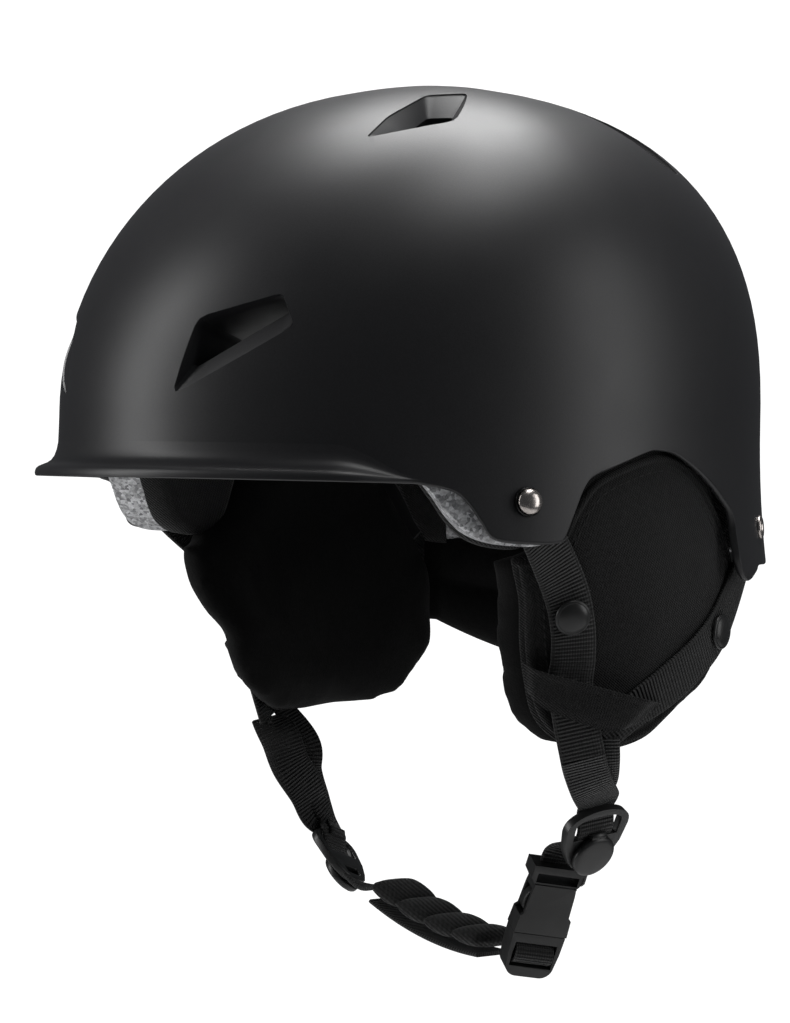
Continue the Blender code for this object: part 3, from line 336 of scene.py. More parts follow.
def skirt_point(angle, height, inset=0.0):
    return dome_point(angle, min(height - EQUATOR, -1e-6), inset)


def signed(angle):
    return angle if angle <= 180 else angle - 360


def brim_weight(angle):
    return smooth_step((BRIM_END - abs(signed(angle))) / 14)


def anchor_frame(anchor, side):
    """Point and outward direction of a strap anchor on the shell's surface."""
    angle, height = anchor
    place = skirt_point(angle, height)
    ahead = skirt_point(angle + 0.5, height) - skirt_point(angle - 0.5, height)
    upwards = skirt_point(angle, height + 1) - skirt_point(angle, height - 1)
    outwards = ahead.cross(upwards).normalized()
    if outwards.dot(place) < 0:
        outwards.negate()
    place.x *= side
    outwards.x *= side
    return place, outwards


def strap_direction(end, outwards):
    """Direction in which a strap leaves its anchor, down along the inside of the skirt."""
    aim = Vector((0, {"front": 0.62, "rear": -0.50}[end], -0.80))
    return (aim - aim.dot(outwards) * outwards).normalized()


def plan_x(y, inset):
    reach = (FRONT_REACH if y < 0 else BACK_REACH) - inset
    return (HALF_WIDTH - inset) * (1 - abs(y / reach) ** PLAN_POWER) ** (1 / PLAN_POWER)


def pad_x(y, z):
    """Distance of the ear panel's outer face from the middle plane."""
    share = min(max(-z / PAD_FOOT_DEPTH, 0.0), 1.3)
    share = share ** 1.35
    top = plan_x(y, PAD_INSET)
    wrap = PAD_WRAP_FRONT if y < PAD_WRAP_CENTRE else PAD_WRAP_REAR
    foot = PAD_FOOT_X - (y - PAD_WRAP_CENTRE) ** 2 / (2 * wrap)
    return top + (foot - top) * share


def pad_point(side, y, z, depth=0.0):
    """Point on the ear pad, pushed inwards along the pad face's normal."""
    x = pad_x(y, z)
    slope_y = (pad_x(y + 1, z) - pad_x(y - 1, z)) / 2
    slope_z = (pad_x(y, z + 1) - pad_x(y, z - 1)) / 2
    normal = Vector((1, -slope_y, -slope_z)).normalized()
    point = Vector((x, y, z)) - normal * depth
    point.x *= side
    return point


def pad_normal(side, y, z):
    return (pad_point(side, y, z) - pad_point(side, y, z, 1.0)).normalized()


def smooth_path(points, parts, closed=False):
    """Catmull-Rom curve through points, with so many parts between each two."""
    count = len(points)
    path = []
    for i in range(count if closed else count - 1):
        if closed:
            p0, p1, p2, p3 = (points[(i + k) % count] for k in (-1, 0, 1, 2))
        else:
            p0, p1, p2, p3 = (points[min(max(i + k, 0), count - 1)] for k in (-1, 0, 1, 2))
        for k in range(parts):
            t = k / parts
            path.append(0.5 * (2 * p1 + (p2 - p0) * t + (2 * p0 - 5 * p1 + 4 * p2 - p3) * t ** 2
                               + (3 * p1 - p0 - 3 * p2 + p3) * t ** 3))
    if not closed:
        path.append(points[-1])
    return path


def strap_upper(side, end):
    """Path and normals of a strap from its anchor to the foot of the ear pad."""
    anchor, stops = {
        "front": (FRONT_ANCHOR, ((-14.5, -33), (-8, -46), (-5, -57), (-3, -68), (5, -90))),
        "rear": (REAR_ANCHOR, ((60.5, -46.5), (46, -57.5), (35, -65.5), (22, -76.5), (13.5, -91))),
    }[end]
    place, out = anchor_frame(anchor, side)
    down = strap_direction(end, out)
    middle = place - out * STRAP_SUNK
    points = [middle - down * 9 - out * 0.6, middle, middle + down * 9]
    normals = [out, out, out]
    for y, z in stops:
        lift = 0.5 + WEB_THICKNESS / 2
        if end == "rear":
            lift += STRAP_OVERLAP * smooth_step((-z - 50) / 20)
        points.append(pad_point(side, y, z, -lift))
        normals.append(pad_normal(side, y, z))
    return points, normals


def divider_frame(side):
    """Length, width and outward directions of a divider."""
    lean = {LEFT: Vector((-0.50, 0.17, -0.84)), RIGHT: Vector((0.74, 0.0, -0.67))}[side]
    across = {LEFT: Vector((0.14, 0.93, 0.22)), RIGHT: Vector((-0.22, 0.88, -0.36))}[side]
    frame = frame_of(lean, across)
    if frame.col[2].x * side < 0:
        frame = frame_of(lean, -across)
    return frame


def divider_point(side, along, across, out):
    return DIVIDER_PLACE[side] + divider_frame(side) @ Vector((along, across, out))


def buckle_frame():
    frame = frame_of(BUCKLE_AXIS, BUCKLE_ACROSS)
    return frame if frame.col[2].x > 0 else frame_of(BUCKLE_AXIS, -BUCKLE_ACROSS)


def buckle_block(low, high):
    return block(BUCKLE_TOP, buckle_frame(), low, high)


def buckle_plate(outline, low, high):
    return plate(BUCKLE_TOP, buckle_frame(), outline, low, high)


def female_outline():
    """Waisted outline of the buckle's socket, (along, across), on one side then the other."""
    half = BUCKLE_WIDTH / 2
    edge = [(0, half), (4.5, half), (7.5, half - 2.2), (10, half - 1.9), (18.5, half - 1.5),
            (19.5, half - 0.4), (FEMALE_LENGTH, half)]
    return edge + [(along, -across) for along, across in reversed(edge)]


def chin_path(start, end, parts):
    """Hanging run from start to end, lowest in between."""
    path = []
    for k in range(parts + 1):
        share = k / parts
        point = start.lerp(end, share)
        point.z -= CHIN_PAD_SAG * 4 * share * (1 - share)
        path.append(point)
    return path


def chin_normals(path):
    normals = []
    for k in range(len(path)):
        along = path[min(k + 1, len(path) - 1)] - path[max(k - 1, 0)]
        normals.append(along.cross(Vector((0, 1, 0))).normalized())
    return normals


def cushion_ring(side, scale, depth):
    """Ring of the cushion behind the panel; it reaches further back low down, behind the ear."""
    middle = Vector((*PANEL_MIDDLE, 0.0))
    ring = []
    for y, z in PANEL_OUTLINE:
        y += CUSHION_REAR * smooth_step((y - middle.x) / 35) * smooth_step((-z - 20) / 40)
        y = min(y, 71.0)
        z = min(z, 17.5)
        if y < 0 and z > -24:
            y += 0.25 * depth
        place = middle + (Vector((y, z, 0)) - middle) * scale
        point = pad_point(side, place.x, place.y, PANEL_THICKNESS + 1.0)
        ring.append(point - Vector((side * depth, 0, 0)))
    return ring


# ---------------------------------------------------------------- mesh tools

def mesh_object(name, skin, uv=None):
    """An object from millimetre points, with all its faces turned outwards."""
    points, faces = skin
    mesh = bpy.data.meshes.new(name)
    mesh.from_pydata([Vector(point) * MM for point in points], [], faces)
    if uv:
        layer = mesh.uv_layers.new(name="along")
        for loop in mesh.loops:
            layer.data[loop.index].uv = uv[loop.vertex_index]
    build = bmesh.new()
    build.from_mesh(mesh)
    bmesh.ops.recalc_face_normals(build, faces=build.faces)
    build.to_mesh(mesh)
    build.free()
    item = bpy.data.objects.new(name, mesh)
    bpy.context.scene.collection.objects.link(item)
    return item


def piece(name, skin, look, body="helmet", replaces=(), smooth=50.0, uv=None):
    """A shown piece, riding on a CAD body and standing for CAD nodes."""
    item = mesh_object(name, skin, uv)
    item.data.materials.append(look)
    shade(item, smooth)
    if body:
        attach(item, body)
    if replaces:
        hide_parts(*replaces)
    return item


def soft_piece(name, skin, look, body="helmet", replaces=()):
    """A piece of a soft part, shaded smooth up to SOFT_ANGLE."""
    item = piece(name, skin, look, body, replaces=replaces, smooth=SOFT_ANGLE)
    return item


def shade(item, angle):
    item.data.shade_smooth()
    item.data.set_sharp_from_angle(angle=math.radians(angle))


def bake(item):
    """Applies an object's modifiers to its mesh."""
    tree = bpy.context.evaluated_depsgraph_get()
    made = bpy.data.meshes.new_from_object(item.evaluated_get(tree))
    item.modifiers.clear()
    item.data = made


def carve(item, skins, smooth=35.0, join=()):
    """Cuts skins out of a piece, or joins some on, and drops the tools."""
    tools = []
    for operation, group in (("UNION", join), ("DIFFERENCE", skins)):
        for skin in group:
            tools.append(mesh_object("tool", skin))
            change = item.modifiers.new("carve", "BOOLEAN")
            change.operation = operation
            change.solver = "MANIFOLD"
            change.object = tools[-1]
    bake(item)
    for made in tools:
        bpy.data.objects.remove(made)
    shade(item, smooth)


def soften(item, width, segments=3):
    """Rounds a moulded part's edges."""
    build = bmesh.new()
    build.from_mesh(item.data)
    bmesh.ops.remove_doubles(build, verts=build.verts, dist=1e-6)
    bmesh.ops.dissolve_limit(build, angle_limit=math.radians(1.5), verts=build.verts, edges=build.edges)
    build.to_mesh(item.data)
    build.free()
    change = item.modifiers.new("soften", "BEVEL")
    change.width = width * MM
    change.segments = segments
    change.limit_method = "ANGLE"
    change.angle_limit = math.radians(EDGE_ANGLE)
    change.use_clamp_overlap = True
    change.harden_normals = False
    bake(item)
    shade(item, 40)


def tube(rings):
    """Skin of a closed loop of rings, such as a ring-shaped edge."""
    count, total = len(rings[0]), len(rings)
    points = [point for ring in rings for point in ring]
    faces = []
    for row in range(total):
        nxt = (row + 1) % total
        for i in range(count):
            j = (i + 1) % count
            faces.append((row * count + i, row * count + j, nxt * count + j, nxt * count + i))
    return points, faces


def strip(path, normals, widths):
    """Skin and UVs of flat webbing with rounded edges; U runs along it and V across, in metres."""
    half_t = WEB_THICKNESS / 2
    rings, uv, run = [], [], 0.0
    for k, point in enumerate(path):
        ahead = path[min(k + 1, len(path) - 1)] - path[max(k - 1, 0)]
        along = ahead.normalized()
        normal = (normals[k] - normals[k].dot(along) * along).normalized()
        across = along.cross(normal)
        half = widths[k] / 2
        if k:
            run += (point - path[k - 1]).length
        flat = (-half + WEB_EDGE, -half * 0.5, 0, half * 0.5, half - WEB_EDGE)
        section = [(a, -half_t) for a in flat] + [(half, -half_t * 0.4), (half, half_t * 0.4)]
        section += [(a, half_t) for a in flat[::-1]] + [(-half, half_t * 0.4), (-half, -half_t * 0.4)]
        rings.append([point + across * a + normal * b for a, b in section])
        uv += [(run * MM, a * MM) for a, b in section]
    return loft(rings), uv


def resample(path, normals, parts):
    """A finer smooth run through a strap's points."""
    fine = smooth_path(path, parts)
    faces = smooth_path(normals, parts)
    return fine, [face.normalized() for face in faces]


# ---------------------------------------------------------------- materials

class Look:
    """A small builder for one procedural material."""

    def __init__(self, name, colour, roughness, metallic=0.0, **sockets):
        self.made = bpy.data.materials.new(name)
        self.made.use_nodes = True
        self.tree = self.made.node_tree
        self.shader = self.tree.nodes["Principled BSDF"]
        self.shader.inputs["Base Color"].default_value = (*colour, 1.0)
        self.shader.inputs["Roughness"].default_value = roughness
        self.shader.inputs["Metallic"].default_value = metallic
        for key, value in sockets.items():
            self.shader.inputs[key.replace("_", " ")].default_value = value
        self.height = None

    def node(self, kind, **values):
        made = self.tree.nodes.new(kind)
        for key, value in values.items():
            if key in made.inputs:
                made.inputs[key].default_value = value
            else:
                setattr(made, key, value)
        return made

    def link(self, a, b):
        self.tree.links.new(a, b)

    def place(self):
        return self.node("ShaderNodeTexCoord").outputs["Object"]

    def noise(self, scale, detail=2.0, rough=0.5):
        made = self.node("ShaderNodeTexNoise", Scale=scale, Detail=detail, Roughness=rough)
        self.link(self.place(), made.inputs["Vector"])
        return made.outputs["Fac"]

    def math(self, operation, a, b=None):
        made = self.node("ShaderNodeMath", operation=operation)
        for k, value in enumerate((a, b)):
            if value is None:
                continue
            if isinstance(value, (int, float)):
                made.inputs[k].default_value = value
            else:
                self.link(value, made.inputs[k])
        return made.outputs[0]

    def times(self, a, b):
        return self.math("MULTIPLY", a, b)

    def plus(self, a, b):
        return self.math("ADD", a, b)

    def ramp(self, value, stops):
        made = self.node("ShaderNodeValToRGB")
        band = made.color_ramp
        while len(band.elements) < len(stops):
            band.elements.new(0.5)
        for element, (place, colour) in zip(band.elements, stops):
            element.position = place
            element.color = (*colour, 1.0)
        self.link(value, made.inputs["Fac"])
        return made.outputs["Color"]

    def colour(self, value):
        self.link(value, self.shader.inputs["Base Color"])
        return self

    def greys(self, value, *stops):
        """Base colour from a value, through (place, brightness) stops."""
        return self.colour(self.ramp(value, [(place, (bright,) * 3) for place, bright in stops]))

    def rough(self, value, low, high):
        spread = self.node("ShaderNodeMapRange")
        spread.inputs["To Min"].default_value = low
        spread.inputs["To Max"].default_value = high
        self.link(value, spread.inputs["Value"])
        self.link(spread.outputs[0], self.shader.inputs["Roughness"])
        return self

    def bump(self, value, distance, strength=1.0):
        made = self.node("ShaderNodeBump")
        made.inputs["Distance"].default_value = distance
        made.inputs["Strength"].default_value = strength
        self.link(value, made.inputs["Height"])
        if self.height is not None:
            self.link(self.height, made.inputs["Normal"])
        self.height = made.outputs["Normal"]
        self.link(self.height, self.shader.inputs["Normal"])
        return self


def shell_look():
    look = Look("shell_plastic", (0.0155, 0.0153, 0.0168), 0.42, IOR=1.5)
    look.rough(look.noise(60, 3), 0.39, 0.45)
    look.bump(look.noise(2600, 1), 0.00003, 0.55)
    tint = look.ramp(look.noise(1800, 2), [(0.3, (0.0125, 0.0123, 0.0137)), (0.7, (0.0175, 0.0172, 0.0190))])
    look.colour(tint)
    return look.made


def foam_look():
    look = Look("liner_foam", (0.05, 0.05, 0.05), 0.7)
    beads = look.node("ShaderNodeTexVoronoi", Scale=900.0)
    look.link(look.place(), beads.inputs["Vector"])
    split = look.node("ShaderNodeSeparateColor")
    look.link(beads.outputs["Color"], split.inputs["Color"])
    speck = look.plus(look.times(split.outputs["Red"], 0.5), look.times(look.noise(1500, 3, 0.7), 0.5))
    look.colour(look.ramp(speck, [(0.25, (0.20, 0.20, 0.21)), (0.5, (0.50, 0.50, 0.51)),
                                  (0.8, (0.90, 0.90, 0.92))]))
    look.bump(look.times(beads.outputs["Distance"], -1.0), 0.0003, 0.5)
    return look.made


def knit_look(name="knit", shade_of=0.0085, pitch=0.0008):
    """Fine diagonal knit: slanted ridges broken by a second, shorter wale."""
    look = Look(name, (shade_of,) * 3, 0.85, Sheen_Weight=0.12, Sheen_Roughness=0.4, Specular_IOR_Level=0.3)
    parts = look.node("ShaderNodeSeparateXYZ")
    look.link(look.place(), parts.inputs[0])
    x, y, z = (parts.outputs[axis] for axis in "XYZ")
    side = look.plus(y, look.times(x, 0.6))
    slant = look.plus(look.times(side, 0.62), look.times(z, 0.95))
    other = look.math("SUBTRACT", look.times(side, 1.1), look.times(z, 0.35))
    wobble = look.times(look.noise(140, 2), 3.0)
    ridge = look.math("SINE", look.plus(look.times(slant, math.tau / pitch), wobble))
    stitch = look.math("SINE", look.plus(look.times(other, math.tau / (pitch * 1.5)), wobble))
    weave = look.plus(look.times(ridge, 0.65), look.times(stitch, 0.35))
    shift = look.plus(look.times(weave, 0.22), look.noise(900, 2))
    look.greys(shift, (0.25, shade_of * 0.45), (0.8, shade_of * 1.9))
    look.bump(look.noise(28, 3), 0.0022, 0.5)
    look.bump(weave, 0.0002, 0.8)
    return look.made


def fleece_look():
    look = Look("fleece", (0.0022,) * 3, 0.95, Sheen_Weight=0.05, Sheen_Roughness=0.5, Specular_IOR_Level=0.2)
    look.greys(look.noise(700, 4, 0.7), (0.3, 0.0022), (0.75, 0.0060))
    look.bump(look.noise(30, 3), 0.0030, 0.6)
    look.bump(look.noise(1500, 3, 0.7), 0.00035, 0.8)
    return look.made


def webbing_look():
    """Ribs across the webbing, with the flat selvage left plain."""
    look = Look("webbing", (0.008,) * 3, 0.6, Sheen_Weight=0.15, Specular_IOR_Level=0.32)
    along = look.node("ShaderNodeUVMap", uv_map="along")
    parts = look.node("ShaderNodeSeparateXYZ")
    look.link(along.outputs["UV"], parts.inputs[0])
    rib = look.math("SINE", look.times(parts.outputs["X"], math.tau / RIB_PITCH))
    thread = look.math("SINE", look.times(parts.outputs["Y"], math.tau / THREAD_PITCH))
    edge = look.math("GREATER_THAN", look.math("ABSOLUTE", parts.outputs["Y"]), SELVAGE)
    flat = look.math("SUBTRACT", 1.0, look.times(edge, 0.7))
    weave = look.plus(look.times(rib, flat), look.times(thread, 0.18))
    look.greys(look.plus(look.times(rib, 0.2), look.noise(900, 2)), (0.25, 0.0035), (0.8, 0.015))
    look.bump(weave, 0.00035, 1.0)
    return look.made


def plastic_look(name, shade_of, roughness):
    look = Look(name, (shade_of,) * 3, roughness)
    look.rough(look.noise(250, 3), roughness - 0.05, roughness + 0.07)
    look.bump(look.noise(3200, 2), 0.00003, 0.5)
    look.greys(look.noise(120, 3), (0.3, shade_of * 0.85), (0.7, shade_of * 1.15))
    return look.made


def metal_look(name, colour, roughness):
    look = Look(name, colour, roughness, 1.0)
    look.rough(look.noise(900, 3), roughness - 0.06, roughness + 0.1)
    look.bump(look.noise(1800, 2), 0.00002, 0.4)
    dim = tuple(c * 0.8 for c in colour)
    look.colour(look.ramp(look.noise(400, 3), [(0.3, dim), (0.7, colour)]))
    return look.made


# ---------------------------------------------------------------- shell

def edge_line(path):
    """A smoothed half of an edge path, as (degrees, height) from the front to the back."""
    fine = smooth_path([Vector((angle, height, 0)) for angle, height in path], 6)
    line, last = [], -1.0
    for point in fine:
        if point.x > last + 0.15:
            line.append((point.x, point.y))
            last = point.x
    line[-1] = (180.0, line[-1][1])
    return line


def round_columns(path):
    """Columns round the whole head as (degrees, height); the right half mirrors the left."""
    line = edge_line(path)
    full = []
    for (a, low), (b, high) in zip(line, line[1:]):
        parts = max(1, math.ceil((b - a) / 1.6))
        full += [(a + (b - a) * k / parts, low + (high - low) * k / parts) for k in range(parts)]
    full.append(line[-1])
    return full + [(360 - angle, height) for angle, height in full[-2:0:-1]]


def column_turn(index, columns, rise):
    even = 360 * index / len(columns)
    return columns[index][0] + (even - columns[index][0]) * smooth_step((rise - 25) / 50)


def fine_dome(columns, inset, rises):
    return [[dome_point(column_turn(i, columns, rise), rise, inset) for i in range(len(columns))]
            for rise in rises]


def fine_skirt(columns, inset, share, lift=0.0):
    ring = []
    for angle, low in columns:
        top = low + lift * brim_weight(angle)
        ring.append(skirt_point(angle, EQUATOR + (top - EQUATOR) * share, inset))
    return ring


def fine_shell():
    columns = round_columns(SHELL_EDGE)
    rises = [86, 82, 78] + list(range(74, 0, -3)) + [0]
    rings = fine_dome(columns, 0, rises)
    for share in (0.12, 0.25, 0.4, 0.55, 0.7, 0.82, 0.91, 0.96):
        rings.append(fine_skirt(columns, 0, share, BRIM_RISE))
    for reach, rise, base, inset in BRIM_SECTION:
        ring = []
        for angle, low in columns:
            weight = brim_weight(angle)
            place = low + base + BRIM_RISE * rise * weight
            ring.append(skirt_point(angle, place, inset * (1 - weight) - BRIM_REACH * reach * weight
                                    + max(0.0, inset - 1.25) * weight))
        rings.append(ring)
    for share in (0.9, 0.7, 0.5, 0.25):
        rings.append(fine_skirt(columns, SHELL_THICKNESS, share, 3.0))
    rings += fine_dome(columns, SHELL_THICKNESS, rises[::-1])
    top = Vector((0, 0, CROWN_HEIGHT))
    return loft(rings, top, top - Vector((0, 0, SHELL_THICKNESS)))


def fine_liner():
    columns = [(angle, low + LINER_LIFT) for angle, low in round_columns(LINER_EDGE)]
    outside, inside = LINER_OUTSIDE, LINER_INSIDE
    rises = [84, 74, 64, 54, 44, 34, 24, 12, 0]
    rings = fine_dome(columns, outside, rises)
    for share, inset in ((0.5, outside), (0.9, outside), (0.97, outside + 0.5), (1.0, outside + 1.6),
                         (1.0, inside - 6), (0.985, inside - 2.5), (0.94, inside - 0.6), (0.85, inside),
                         (0.4, inside)):
        rings.append(fine_skirt(columns, inset, share))
    rings += fine_dome(columns, inside, rises[::-1])
    top = Vector((0, 0, CROWN_HEIGHT))
    return loft(rings, top - Vector((0, 0, outside)), top - Vector((0, 0, inside)))


def on_dome(corner, inset, side):
    point = dome_point(corner[0], corner[1], inset)
    return Vector((side * point.x, point.y, point.z))


def rounded_outline(corners):
    """Outline through corners with evenly spaced points and slightly rounded corners."""
    points = []
    for a, b in zip(corners, corners[1:] + corners[:1]):
        points += [Vector((*a, 0)).lerp(Vector((*b, 0)), k / 9) for k in range(9)]
    count = len(points)
    points = [points[i - 1] * 0.25 + points[i] * 0.5 + points[(i + 1) % count] * 0.25 for i in range(count)]
    return [(point.x, point.y) for point in points]


def plug(corners, side, growth=1.0, reach_in=0.62):
    centre = Vector((0, 0, EQUATOR))
    outline = [on_dome(corner, 0, side) for corner in rounded_outline(corners)]
    middle = centre_of(outline)
    outline = [middle + (point - middle) * growth for point in outline]
    rings = [[centre + (point - centre) * reach for point in outline] for reach in (1.12, reach_in)]
    return capped(rings)


def vent_wall(mouth, throat, depth, side):
    """Moulded wall of a vent: a thin chamfer, then walls and a ramp down to the throat."""
    outer, inner = rounded_outline(mouth), rounded_outline(throat)
    middle = tuple(sum(c[k] for c in outer) / len(outer) for k in (0, 1))
    drawn = [tuple(middle[k] + (c[k] - middle[k]) * VENT_LIP for k in (0, 1)) for c in outer]
    layers = [(outer, 0.02), (drawn, LIP_DEPTH)]
    for share in (0.12, 0.3, 0.55, 0.8, 1.0):
        mixed = [tuple(a[k] + (b[k] - a[k]) * share for k in (0, 1)) for a, b in zip(drawn, inner)]
        layers.append((mixed, LIP_DEPTH + (depth - LIP_DEPTH) * share))
    layers += [(inner, depth + 1.0), (inner, VENT_REACH), (outer, VENT_REACH), (outer, 2.2)]
    return tube([[on_dome(c, sunk, side) for c in line] for line, sunk in layers])


def build_shell(look):
    shell = piece("shell_fine", fine_shell(), look["shell"], replaces=["outer_shell"])
    plugs, inner, holes = [], [], []
    for side in SIDE_NAMES:
        for mouth, *_ in VENT_SHAPES.values():
            plugs.append(plug(mouth, side))
            inner.append(plug(mouth, side, 1.16, 0.60))
    for side in SIDE_NAMES:
        for anchor in (FRONT_ANCHOR, REAR_ANCHOR):
            place, out = anchor_frame(anchor, side)
            holes.append(turned(place - out * 6, out, [(SHANK_HOLE, 0), (SHANK_HOLE, 9)], 24))
    carve(shell, plugs + holes, 38)
    for side, word in SIDE_NAMES.items():
        for key, (mouth, throat, depth) in VENT_SHAPES.items():
            wall = vent_wall(mouth, throat, depth, side)
            piece(f"vent_{key}_{word}", wall, look["shell"], smooth=32)
    liner = piece("liner_fine", fine_liner(), look["foam"], replaces=["eps_liner"])
    carve(liner, inner, 38)


# ---------------------------------------------------------------- anchors

def build_anchors(look):
    for side, word in SIDE_NAMES.items():
        place, out = anchor_frame(FRONT_ANCHOR, side)
        # the ring is coloured dark: painted shadow of the recess round the rivet's head
        ring = [(RING_RADIUS, 0.1), (RING_RADIUS, 0.6), (RING_RADIUS - 0.15, 1.0), (RING_RADIUS - 0.3, 1.15),
                (RIVET_RADIUS + 0.15, 1.05), (RIVET_RADIUS + 0.1, 0.9), (SHANK_HOLE, 0.9), (SHANK_HOLE, 0.1)]
        piece(f"rivet_ring_{word}", turned(place, out, ring, 48, bore=True), look["collar"],
              replaces=[f"front_rivet_collar_{word}"], smooth=45)
        r = RIVET_RADIUS
        dome = [(0, -8.5), (3.4, -8.5), (3.4, -7.6), (SHANK_RADIUS, -7.4), (SHANK_RADIUS, 1.25),
                (r - 0.25, 1.25), (r, 1.5), (r, 1.8), (r - 0.12, 2.1), (r * 0.90, 2.5), (r * 0.76, 3.0),
                (r * 0.55, 3.4), (r * 0.3, 3.65), (0, 3.72)]
        piece(f"rivet_dome_{word}", turned(place, out, dome, 48), look["nickel"],
              replaces=[f"front_rivet_{word}"], smooth=50)
        place, out = anchor_frame(REAR_ANCHOR, side)
        r = EYELET_RADIUS
        eye = [(r, 0.1), (r + 0.05, 0.5), (r - 0.25, 0.95), (r - 0.75, 1.25), (r - 1.3, 1.15), (2.2, 0.7),
               (EYELET_BORE + 0.15, -0.4), (EYELET_BORE, -1.5), (EYELET_BORE, -8.5), (3.4, -8.5), (3.4, -7.6),
               (SHANK_RADIUS, -7.4), (SHANK_RADIUS, 0.1)]
        piece(f"eyelet_rim_{word}", turned(place, out, eye, 48, bore=True), look["nickel"],
              replaces=[f"rear_eyelet_{word}"], smooth=50)


# ---------------------------------------------------------------- padding

def cushion_patch(span, heights, depth):
    """Crowned comfort pad on the liner with a flat welded border; span in degrees, heights in rise."""
    rings = []
    for k in range(PAD_STEPS_ALONG + 1):
        t = k / PAD_STEPS_ALONG
        angle = span[0] + (span[1] - span[0]) * t
        end = min(t, 1 - t)
        fill = smooth_step(min(1.0, end / 0.10))
        rounded = math.sqrt(max(0.0, 1 - (1 - min(1, end / 0.16)) ** 2))
        half = (heights[1] - heights[0]) / 2 * (0.62 + 0.38 * rounded)
        middle = sum(heights) / 2
        back, front = [], []
        for j in range(PAD_STEPS_ACROSS + 1):
            s = j / PAD_STEPS_ACROSS
            level = middle + half * (2 * s - 1)
            rim = min(s, 1 - s)
            rise = smooth_step(min(1.0, max(0.0, (rim - PAD_BORDER) / 0.22))) * fill
            back.append(dome_point(angle, level, depth + 0.2))
            front.append(dome_point(angle, level, depth + 1.4 + (PAD_FULLNESS - 1.6) * rise))
        rings.append(back + front[::-1])
    return capped(rings)


def build_padding(look):
    knit = look["knit"]
    depth = SHELL_THICKNESS + LINER_GAP + LINER_THICKNESS + 1.6
    pads = [("brow", "brow_pad", (-56, 56), (-13, 9)), ("rear", "rear_pad", (160, 200), (2, 26))]
    for side, word in SIDE_NAMES.items():
        pads.append((f"side_{word}", f"side_pad_{word}", (side * 70, side * 112), (10, 30)))
        pads.append((f"crown_side_{word}", f"crown_side_pad_{word}", (side * 74, side * 106), (42, 58)))
    for key, node, span, heights in pads:
        soft_piece(f"comfort_{key}", cushion_patch(span, heights, depth), knit, replaces=[node])
    for side, word in SIDE_NAMES.items():
        for place, span, wrap in LININGS:
            soft_piece(f"{place}_lining_{word}", lining_skin(side, span, wrap), knit)
    top = Vector((0, 0, CROWN_HEIGHT - depth - 2.4))
    profile = [(0, 0), (14, -0.4), (26.4, -3.0), (27.8, -3.8), (28.0, -4.6), (27.0, -5.2), (24.5, -6.2),
               (21.5, -8.0), (17, -9.0), (9, -9.4), (0, -9.5)]
    crown = turned(top, Vector((0, 0, 1)), profile, 72)
    soft_piece("comfort_crown", crown, knit, replaces=["crown_pad"])


def lining_skin(side, span, wrap):
    """Soft lining that wraps the liner's inner edge over a span of degrees from the front."""
    line = [(angle, low + LINER_LIFT) for angle, low in edge_line(LINER_EDGE) if span[0] <= angle <= span[1]]
    rings = []
    for k, (angle, low) in enumerate(line):
        end = smooth_step(min(k, len(line) - 1 - k) / 4)
        out = wrap * (0.4 + 0.6 * end)
        ring = []
        for inset, lift in ((-out, -0.1), (1.0 - out, -0.9), (-4, -1.3), (-1.0, -0.7), (1.0, 1.6), (1.7, 6),
                            (2.0, 15), (1.6, 23), (0.4, 25), (-0.6, 23), (-0.6, 6), (-3.5, 0.6)):
            point = skirt_point(angle, low + lift, LINER_INSIDE + inset)
            ring.append(Vector((side * abs(point.x), point.y, point.z)))
        rings.append(ring)
    return capped(rings)


def nape_skin():
    """Collar behind the head: two padded channels with a seam between them."""
    rings, steps, rows = [], 72, 18
    for k in range(steps + 1):
        t = k / steps
        angle = NAPE_START + NAPE_SPAN * t
        away = min(abs(angle - 180) / 43, 1.06)
        depth = 34 - 10.5 * away ** 2 - 5 * away ** 6
        low, high = -72 + 16 * away ** 2, -21 - 1.5 * away
        end = smooth_step(min(t, 1 - t) / 0.06)
        fat = (2.2 + 4.3 * end) * (1 - 0.45 * away ** 4)
        outer, inner = [], []
        for j in range(rows + 1):
            s = j / rows
            height = low + (high - low) * s
            if s < NAPE_SEAM:
                channel = abs(math.sin(math.pi * min(1.0, s / NAPE_SEAM)))
            else:
                channel = math.sin(math.pi * (s - NAPE_SEAM) / (1 - NAPE_SEAM))
            lift = 0.35 + 0.65 * channel ** 0.5
            inner.append(skirt_point(angle, height, depth + fat * lift))
            outer.append(skirt_point(angle, height, depth + 0.1))
        rings.append(outer + inner[::-1])
    return capped(rings)


